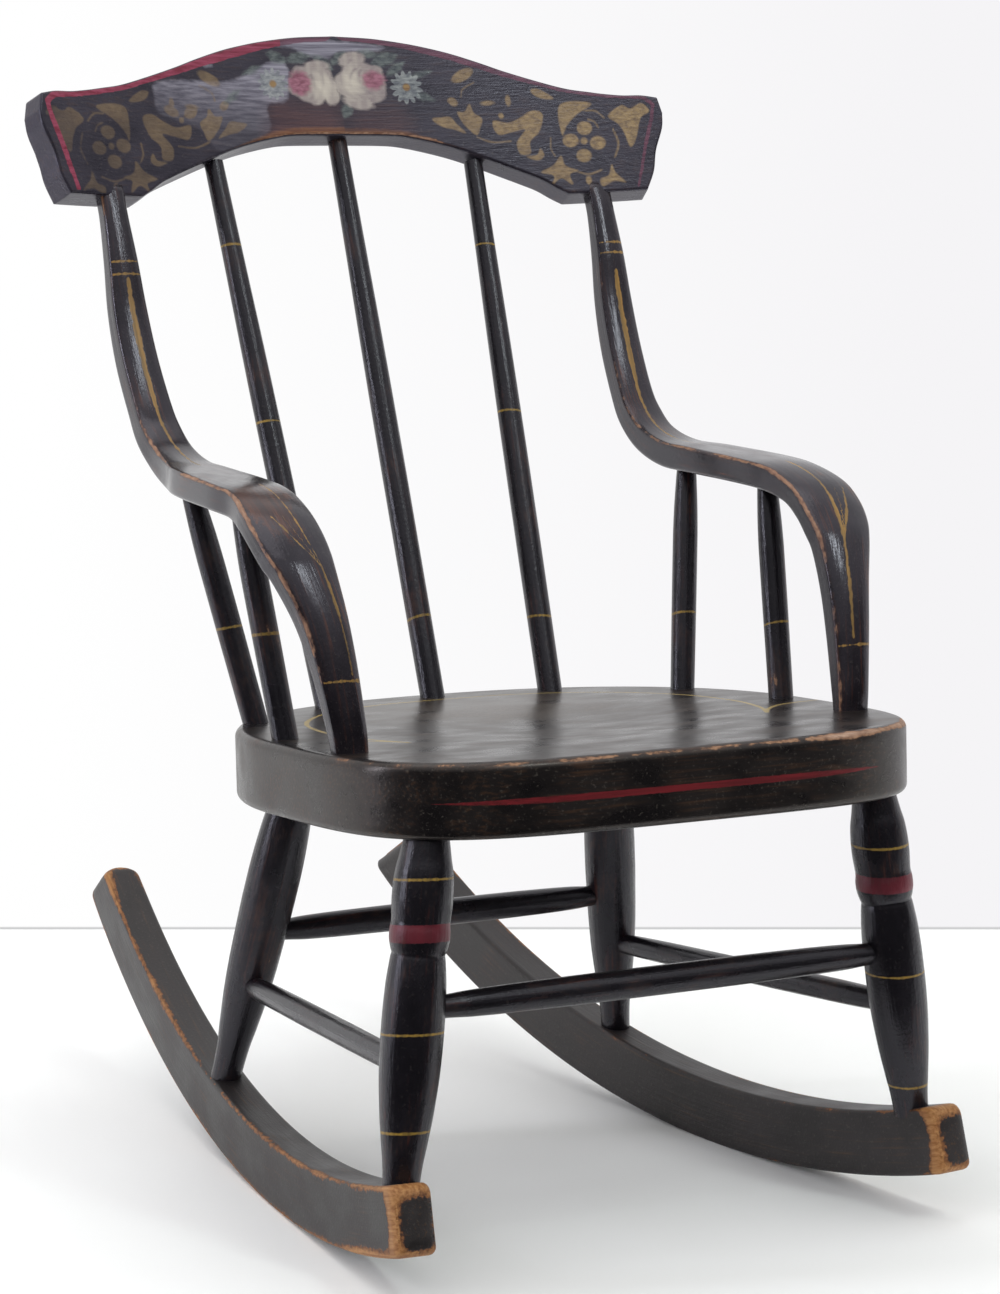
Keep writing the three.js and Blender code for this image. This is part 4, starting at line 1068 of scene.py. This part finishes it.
# Where the rail's front or back face is met, going straight back from a place in its outline. The
# faces are round and the rail tapers, so that the place is found by halving the way to it
def crestPlaced(flat, depth, back):
    radius, half = crest["radius"], crest["width"] / 2
    hollow = radius - math.sqrt(radius ** 2 - half ** 2)
    near, far = (np.full(len(flat), end) for end in crest["search"])
    for halving in range(crest["halvings"]):
        y = (near + far) / 2
        x = flat[:, 0] * (1 + (y + hollow) / radius)
        into, height = spun(y, flat[:, 1], crest["rake"] - crest["cutAngle"])
        share = (height + crest["drop"]) / (crest["drop"] + crest["rise"])
        thick = crest["footThickness"] + (crest["topThickness"] - crest["footThickness"]) * share
        faceRadius = radius + thick if back else radius
        beyond = into > np.sqrt(faceRadius ** 2 - x ** 2) - radius
        far, near = np.where(beyond, y, far), np.where(beyond, near, y)
    y = (near + far) / 2 + (-depth if back else depth)
    x = flat[:, 0] * (1 + (y + hollow) / radius)
    behind, above = spun(y, flat[:, 1], -crest["cutAngle"])
    return np.stack([x, crest["set"] + behind, crest["height"] + above], 1)


# Stencilled motifs of the right half, in the flat of the rail, millimetres from the middle
stencil = {
    "shapes": [
        [(178, 3), (188, 9), (194, 6), (202, 9), (207, 3), (200, -1), (195, -13), (190, -19), (187, -9),
         (184, -3)],
        [(146, 13), (155, 15), (168, 12), (157, 6), (149, -1), (145, -7), (144, 4)],
        [(127, -30), (136, -26), (142, -20), (144, -27), (152, -31), (146, -33), (147, -40), (140, -35),
         (133, -39), (135, -33)],
        [(175, -29), (177, -35), (183, -42), (175, -40), (167, -43), (166, -38), (172, -36)],
        [(100, 6), (110, 4), (119, 7), (127, 11), (134, 8), (130, -3), (123, -9), (122, -17),
         (115, -17), (114, -9), (121, -1), (112, -2), (102, -3)],
        [(119, -19), (126, -18), (129, -14), (131, -19), (126, -22)],
        [(77, 13), (82, 13), (86, 18), (88, 12), (93, 8), (91, 2), (88, -3), (81, 4)],
        [(60, 9), (66, 10), (72, 10), (76, 5), (81, -1), (73, 2), (66, 4)],
        [(128, 25), (134, 25), (143, 18), (136, 18), (130, 21)],
    ],
    # x, y, half length, half width, turn
    "dots": [
        (158, -38, 2.0, 3.0, 0), (84, 37, 8.0, 3.6, 25), (75, 20, 3.6, 2.6, -40), (112, 19, 1.8, 3.6, 0),
        (106, 9, 1.8, 1.8, 0), (98, 18, 4.5, 1.6, 0), (159, -12, 2.2, 2.2, 0),
    ],
    "lines": [
        [(81, 23), (83, 28), (91, 32)], [(88, -4), (98, -8), (110, -8)],
        [(180, -6), (182, -16), (178, -25)], [(152, -32), (159, -34), (168, -32)],
        [(137, -8), (136, -15), (138, -20)], [(163, 8), (170, 7), (175, 2)],
        [(164, 2), (168, 0), (170, -4)],
    ],
    "lineHalf": 0.5, "leftShift": (5, -4),
    "leftDots": ((-104, 10.5, 5.2, 3.6, 35), (-117.5, 10, 5.4, 3.2, -20)),
    "rosette": {"x": 159, "y": -12.5, "petals": 4, "reach": 9.2, "petal": (5.2, 4.42, 0), "turn": 80},
}

# A loose spray of garden flowers in the middle
flowers = {
    # x, y, half width and half height of each rose, of the light on it and of its heart
    "roses": (
        {"body": (-17.5, 32.5, 16.5, 12.5), "light": (-10, 31, 10, 11), "heart": (-26, 33, 7.5, 8)},
        {"body": (15.5, 33, 17, 15), "light": (9, 34, 8.5, 11), "heart": (24, 35.5, 7.5, 6)},
    ),
    # how deep the waves of their edge are, and of their folds, with the folds' places, half width
    # and depth of shade, the light's least and range, and the brush strokes over it
    "frill": (0.06, 0.03), "folds": (1.4, 2.1, 2.8), "foldWave": 0.14, "foldHalf": 0.13, "shade": 0.42,
    "lit": (0.34, 0.66), "strokes": 0.07,
    # loose petals round them: x, y, half length, half width, turn
    "petals": (
        (-14, 43.5, 9, 4.5, 8), (-5, 25, 6, 5, 70), (11, 48.5, 9, 5.5, 12), (12, 21, 10, 4.5, -12),
    ),
    "petalLit": (0.45, 0.12),
    # daisies: x, y, radius. Then shares of it: a petal's foot and its length, its hole and its eye
    "daisies": ((-44.5, 32, 10.5), (45.5, 30.5, 11)),
    "daisyPetal": (0.55, 0.45), "daisyPetals": 13, "daisyHole": 0.2, "daisyEye": 0.22,
    "leaves": (
        (-40, 49, 8, 3.6, 160), (-25, 49.5, 9, 3.6, 12), (-9, 47, 8, 3.2, -35), (33, 49, 10, 4.6, 18),
        (22, 53, 8, 3, -10), (4, 16, 6, 3.6, 65), (55, 38.5, 9, 1.8, 14), (56, 24, 8, 2.4, -20),
        (2, 50, 7, 3, 40), (-74, 22, 8, 2.2, 40), (-58, 40, 8, 2, 25), (40, 43, 8, 2.6, 35),
    ),
}


def ovalFrom(spots, x, y, long, wide, turn):
    a, b = spun(spots[:, 0] - x, spots[:, 1] - y, -turn)
    return (np.hypot(a / long, b / wide) - 1) * min(long, wide)


def leafFrom(spots, x, y, long, wide, turn):
    a, b = spun(spots[:, 0] - x, spots[:, 1] - y, -turn)
    return np.abs(b) + wide * ((a / long) ** 2 - 1)


def stencilField(flat):
    rosette = stencil["rosette"]
    fields = [ovalFrom(flat, *dot) for dot in stencil["leftDots"]]
    for sign in (-1, 1):
        spots = flat * (sign, 1) - (stencil["leftShift"] if sign < 0 else (0, 0))
        fields += [outsideOf(smoothLoop(shape, 5), spots) for shape in stencil["shapes"]]
        fields += [ovalFrom(spots, *dot) for dot in stencil["dots"]]
        for line in stencil["lines"]:
            smooth = smoothLine(line, np.linspace(0, 1, 16))
            fields.append(distanceTo(smooth, spots) - stencil["lineHalf"])
        for petal in range(rosette["petals"]):
            angle = math.radians(rosette["turn"] + petal * 360 / rosette["petals"])
            x = rosette["x"] + rosette["reach"] * math.cos(angle)
            y = rosette["y"] + rosette["reach"] * math.sin(angle)
            fields.append(ovalFrom(spots, x, y, *rosette["petal"]))
    return np.min(fields, axis=0)


def flowerFields(flat):
    far = np.full(len(flat), 9.0)
    fields = {key: far.copy() for key in ("petal", "blush", "daisy", "eye", "leaf")}
    light = np.zeros(len(flat))

    def add(key, values):
        fields[key] = np.minimum(fields[key], values)

    def fromMiddle(x, y, wide, high):
        dx, dy = (flat[:, 0] - x) / wide, (flat[:, 1] - y) / high
        return np.arctan2(dy, dx), np.hypot(dx, dy)

    for rose in flowers["roses"]:
        turn, out = fromMiddle(*rose["body"])
        coarse, fine = flowers["frill"]
        frill = coarse * np.cos(5 * turn + rose["body"][0]) + fine * np.cos(9 * turn)
        add("petal", (out - 1 - frill) * rose["body"][3])
        lit = hump(fromMiddle(*rose["light"])[1], 0, 1)
        # Folds curl round the heart, with brush strokes across them
        turn, out = fromMiddle(*rose["heart"])
        folds = 0
        for ring in flowers["folds"]:
            wave = ring + flowers["foldWave"] * np.sin(2 * turn + 3 * ring)
            folds = folds + hump(out, wave, flowers["foldHalf"])
        shade = flowers["shade"] * folds * (0.6 + 0.4 * np.sin(3 * turn))
        least, more = flowers["lit"]
        strokes = flowers["strokes"] * np.sin(11 * turn + 5 * out)
        light = np.maximum(light, least + more * lit - shade + strokes)
        add("blush", (out - 1) * rose["heart"][3])
    for number, petal in enumerate(flowers["petals"]):
        away = ovalFrom(flat, *petal)
        add("petal", away)
        least, more = flowers["petalLit"]
        brushed = least + more * np.sin(flat[:, 0] * 0.9 + number)
        light = np.maximum(light, np.where(away < 0, brushed, 0))
    for x, y, radius in flowers["daisies"]:
        turn, out = fromMiddle(x, y, 1, 1)
        foot, length = flowers["daisyPetal"]
        wave = np.abs(np.cos(flowers["daisyPetals"] / 2 * turn + x)) ** 0.6
        petals = radius * (foot + length * wave)
        add("daisy", np.maximum(out - petals, radius * flowers["daisyHole"] - out))
        add("eye", out - radius * flowers["daisyEye"])
    for leaf in flowers["leaves"]:
        add("leaf", leafFrom(flat, *leaf))
    return fields, light


# A stripe along the top arris and down both ends: the place beside it, and half its width
def crestStripe(flat):
    x, y = flat.T
    top = crestLine("top", crest["rise"], 60)
    beside, half = np.zeros(len(flat)), np.zeros(len(flat))
    for sign, endHalf, stripe in zip((-1, 1), crest["endHalf"], crest["topStripes"]):
        least, more, broadest, reach = stripe
        broad = least + more * hump(top[:, 0] * sign, broadest, reach)
        inner = (top - outwards(top) * (broad + crest["stripeInset"])[:, None])[4:]
        right = np.vstack([crest["endStripe"], inner])
        around = np.vstack([right, right[-2::-1] * (-1, 1)])
        mine = x * sign >= 0
        beside[mine] = outsideOf(around, flat[mine], margin=30)
        broad = least + more * hump(x[mine], broadest, reach)
        half[mine] = np.where(x[mine] * sign > crest["stripeTurn"], endHalf, broad)
    return beside, np.where(y > crest["stripeFoot"], half, noLine)


def makeCrest():
    low, high = crestHalves()
    rows, steps = crest["rows"], crest["wallSteps"]
    spots, faces, flat, arris = sawnPlank(low, high, rows, crest["edgeRound"], steps, crestPlaced)
    piece = makePiece("crest_rail_shaped", spots, faces, crestPaint())
    into = spun(spots[:, 1] - crest["set"], spots[:, 2] - crest["height"], crest["cutAngle"])[0]
    x, y = flat.T
    giveGrain(piece, x, into, y)
    # Only the front face is ornamented: the first two rings, and the former of the two grids
    isFront = np.zeros(len(spots), bool)
    isFront[:len(joined(low, high)) * 2] = True
    sheet = (len(low) - 2) * (rows - 1)
    isFront[len(spots) - 2 * sheet:len(spots) - sheet] = True
    plain = np.where(isFront, 0.0, farOff)
    giveField(piece, "gold", stencilField(flat) + plain)
    fields, light = flowerFields(flat)
    for key, values in fields.items():
        giveField(piece, key, values + plain)
    giveField(piece, "light", light)
    beside, half = crestStripe(flat)
    half = np.where(isFront, half, noLine)
    giveLine(piece, "red", beside, half + noLine * (x > crest["redTo"]))
    giveLine(piece, "mauve", beside, half + noLine * (x < crest["mauveFrom"]))
    # Worn through along the middle of the arch
    fromArch = distanceTo(low, flat)
    least, more = crest["archWear"]
    reach = least + more * hump(x, *crest["archMiddle"])
    reach = np.where(fromArch < crest["archNear"], reach, crest["wear"])
    giveField(piece, "bare", arris - reach + np.where(isFront, 0.0, crest["backLess"]))
    thins = [outsideOf(smoothLoop(place, 4), flat, margin=9) for place in crest["thinPlaces"]]
    giveField(piece, "thin", np.min(thins, axis=0) + plain)
    more, fade = crest["nearArch"]
    giveField(piece, "thinness", np.where(x < 0, *crest["thinness"]) + more * np.exp(-fromArch / fade))
    glow = np.where(x < 0, *crest["glow"]) * hump(x, *crest["glowMiddle"])
    giveField(piece, "glow", fromArch + crest["glowInset"] - glow + plain)
    # The scuffed bloom with its painted sheen, and the scratches
    scuffsAndSheen = [outsideOf(smoothLoop(place, 4), flat, margin=9) for place in crest["scuffsAndSheen"]]
    half = crest["scratchHalf"]
    scratches = [distanceTo(np.array(line, float), flat) - half for line in crest["scratches"]]
    giveField(piece, "hazeAndSheen", np.min(scuffsAndSheen + scratches, axis=0) + plain)
    # The bloom and its painted sheen are thickest along their upper edge, and the stencilling is
    # kept better to the right
    bloomAndSheen = crest["bloomAndSheen"]
    above = y + bloomAndSheen["line"] + bloomAndSheen["fall"] * x
    strength = bloomAndSheen["atLine"] + bloomAndSheen["more"] * above / bloomAndSheen["height"]
    giveField(piece, "bloomAndSheen", np.clip(strength, *bloomAndSheen["limits"]))
    giveField(piece, "kept", crest["keptFrom"] - x * crest["keptFall"])
    settle(piece, "crest_rail")
    print("crest rail:", len(faces), "faces")


# Studio

studio = {
    "camera": (-966.066, -1934.404, 596.383),
    "right": (0.88736, -0.461063, -0.003541),
    "up": (0.063979, 0.115521, 0.991243),
    "ahead": (0.456616, 0.879816, -0.132007),
    "lens": 127.8,
    "wallFoot": ((-40.4, 717.6), (660.4, 338.7)),  # two points of the line where wall meets floor
    "sheetSize": 5.0,
    "floor": "#fcfcfb", "room": "#fefeff",
    # the wall's colours at two places along it, as painted shade that darkens it toward +X, and the
    # painted shadow in the gap under it, which ends between two heights
    "wall": ("#ffffff", "#f5f4f6"), "wallShadeSpan": (0.0, 0.6),
    "wallGapShadow": "#cfcfd0", "gapShadowEdge": (0.0014, 0.0026),
    # soft boxes: place, what it faces, width, height, watts, colour
    "lamps": {
        "windowLeft": ((-2.5, 0.55, 0.9), (0, 0, 0.3), 0.36, 1.7, 19, "#f3f4ff"),
        "windowFront": ((0.5, -2.1, 2.74), (0, 0, 0.4), 0.3, 0.9, 13, "#f4fffa"),
        "overhead": ((-0.3, 0.3, 2.5), (0, 0, 0.2), 2.4, 1.8, 14, "#fffdfa"),
    },
    # The room's own light, darker low down than at its ceiling, and how bright gloss mirrors it:
    # from one height of the direction to another, and its strength at each
    "ambient": (-0.1, 0.6, 0.34, 1.0), "mirrored": (0.16, 0.7, 0.04, 0.85),
    # Only the camera sees the floor further forward than this, as the room is dark there
    "floorNear": 1.0,
}


def makeCamera():
    camera = newObject("camera", bpy.data.cameras.new("camera"))
    camera.data.lens = studio["lens"]
    camera.data.sensor_width = 36
    camera.data.sensor_fit = "HORIZONTAL"
    camera.data.clip_end = 50
    turn = Matrix((studio["right"], studio["up"], [-part for part in studio["ahead"]])).transposed()
    camera.matrix_world = Matrix.Translation([part * mm for part in studio["camera"]]) @ turn.to_4x4()
    bpy.context.scene.camera = camera


# Two shaders shared out by a socket, and the material's surface
def surfaceOf(tree, share, first, second):
    sheet = addNode(tree, "ShaderNodeMixShader", {0: share, 1: first.outputs[0], 2: second.outputs[0]})
    addNode(tree, "ShaderNodeOutputMaterial", {"Surface": sheet.outputs[0]})


# Matt white paper that takes the chair's shadow. toward is its way to the front, and foot a point
# of its back edge
def floorPaper(toward, foot):
    material = bpy.data.materials.new("matt_paper_floor")
    tree = emptyTree(material)
    matt = addNode(tree, "ShaderNodeBsdfDiffuse", {"Color": toLinear(studio["floor"])})
    place = addNode(tree, "ShaderNodeTexCoord").outputs["Object"]
    forward = addNode(tree, "ShaderNodeVectorMath", {0: place, 1: (*toward, 0)}, operation="DOT_PRODUCT")
    start = float(toward @ foot) + studio["floorNear"]
    beyond = reckoned(tree, "GREATER_THAN", forward.outputs["Value"], start)
    seen = addNode(tree, "ShaderNodeLightPath").outputs["Is Camera Ray"]
    hidden = addNode(tree, "ShaderNodeMath", {0: beyond, 1: seen}, operation="SUBTRACT", use_clamp=True)
    surfaceOf(tree, hidden.outputs[0], matt, addNode(tree, "ShaderNodeBsdfTransparent"))
    return material


# The same paper as a backdrop, which glows evenly for the camera and the paint's gloss, but for
# painted shade toward +X and a painted shadow line at its foot. Nothing of it shows from behind
def wallPaper():
    material = bpy.data.materials.new("matt_paper_wall")
    tree = emptyTree(material)
    path = addNode(tree, "ShaderNodeLightPath").outputs
    seen = reckoned(tree, "MAXIMUM", path["Is Camera Ray"], path["Is Glossy Ray"])
    place = addNode(tree, "ShaderNodeTexCoord").outputs["Object"]
    parts = addNode(tree, "ShaderNodeSeparateXYZ", {0: place}).outputs
    # Painted shade: the backdrop a little darker toward +X, as the light falls off
    shade = tinted(tree, mapped(tree, parts["X"], *studio["wallShadeSpan"]), *studio["wall"])
    # The shadow in the gap under the sheet is painted as a thin grey line
    shade = tinted(tree, mapped(tree, parts["Z"], *studio["gapShadowEdge"], 1.0, 0.0), shade, studio["wallGapShadow"])
    matt = addNode(tree, "ShaderNodeBsdfDiffuse", {"Color": toLinear(studio["floor"])})
    glow = addNode(tree, "ShaderNodeEmission", {"Color": shade, "Strength": 1.0})
    front = addNode(tree, "ShaderNodeMixShader", {0: seen, 1: matt.outputs[0], 2: glow.outputs[0]})
    behind = addNode(tree, "ShaderNodeNewGeometry").outputs["Backfacing"]
    surfaceOf(tree, behind, front, addNode(tree, "ShaderNodeBsdfTransparent"))
    return material


def makeSheet(name, corners, material):
    mesh = bpy.data.meshes.new(name)
    mesh.from_pydata(corners, [], [(0, 1, 2, 3)])
    mesh.materials.append(material)
    sheet = newObject(name, mesh)


def makeRoom():
    world = bpy.data.worlds.new("studio")
    tree = emptyTree(world)
    path = addNode(tree, "ShaderNodeLightPath").outputs
    direction = addNode(tree, "ShaderNodeTexCoord").outputs["Generated"]
    height = addNode(tree, "ShaderNodeSeparateXYZ", {0: direction}).outputs["Z"]
    ambient, mirrored = (mapped(tree, height, *studio[key]) for key in ("ambient", "mirrored"))
    level = between(tree, path["Is Glossy Ray"], ambient, mirrored)
    shown = between(tree, path["Is Camera Ray"], level, 1.0)
    room = addNode(tree, "ShaderNodeBackground", {"Color": toLinear(studio["room"]), "Strength": shown})
    addNode(tree, "ShaderNodeOutputWorld", {"Surface": room.outputs[0]})
    bpy.context.scene.world = world
    bpy.context.scene.view_settings.view_transform = "Standard"


def makeStudio():
    ends = np.array(studio["wallFoot"]) * mm
    run = (ends[1] - ends[0]) / np.linalg.norm(ends[1] - ends[0])
    toward = np.array([run[1], -run[0]])
    size = studio["sheetSize"]
    left, right = ends.mean(0) - run * size, ends.mean(0) + run * size
    corners = (left, right, right + toward * size, left + toward * size)
    makeSheet("floor", [(*spot, 0) for spot in corners], floorPaper(toward, ends[0]))
    makeSheet("wall", [(*left, 0), (*right, 0), (*right, size), (*left, size)], wallPaper())
    for name, (spot, aim, wide, high, power, tint) in studio["lamps"].items():
        lamp = bpy.data.lights.new(name, "AREA")
        lamp.shape = "RECTANGLE"
        lamp.size, lamp.size_y, lamp.energy = wide, high, power
        lamp.color = toLinear(tint)[:3]
        holder = newObject(name, lamp)
        holder.location = spot
        holder.rotation_euler = (Vector(spot) - Vector(aim)).to_track_quat("Z", "Y").to_euler()
    makeRoom()
    print("studio ready")


makeCamera()
makeStudio()
makeTurnings()
rockerFinish = rockerPaint()
armFinish = armPaint()
for side in sides:
    makeRocker(side, rockerFinish)
    makeArm(side, armFinish)
print("rockers and arms ready")
makeSeat()
makeCrest()
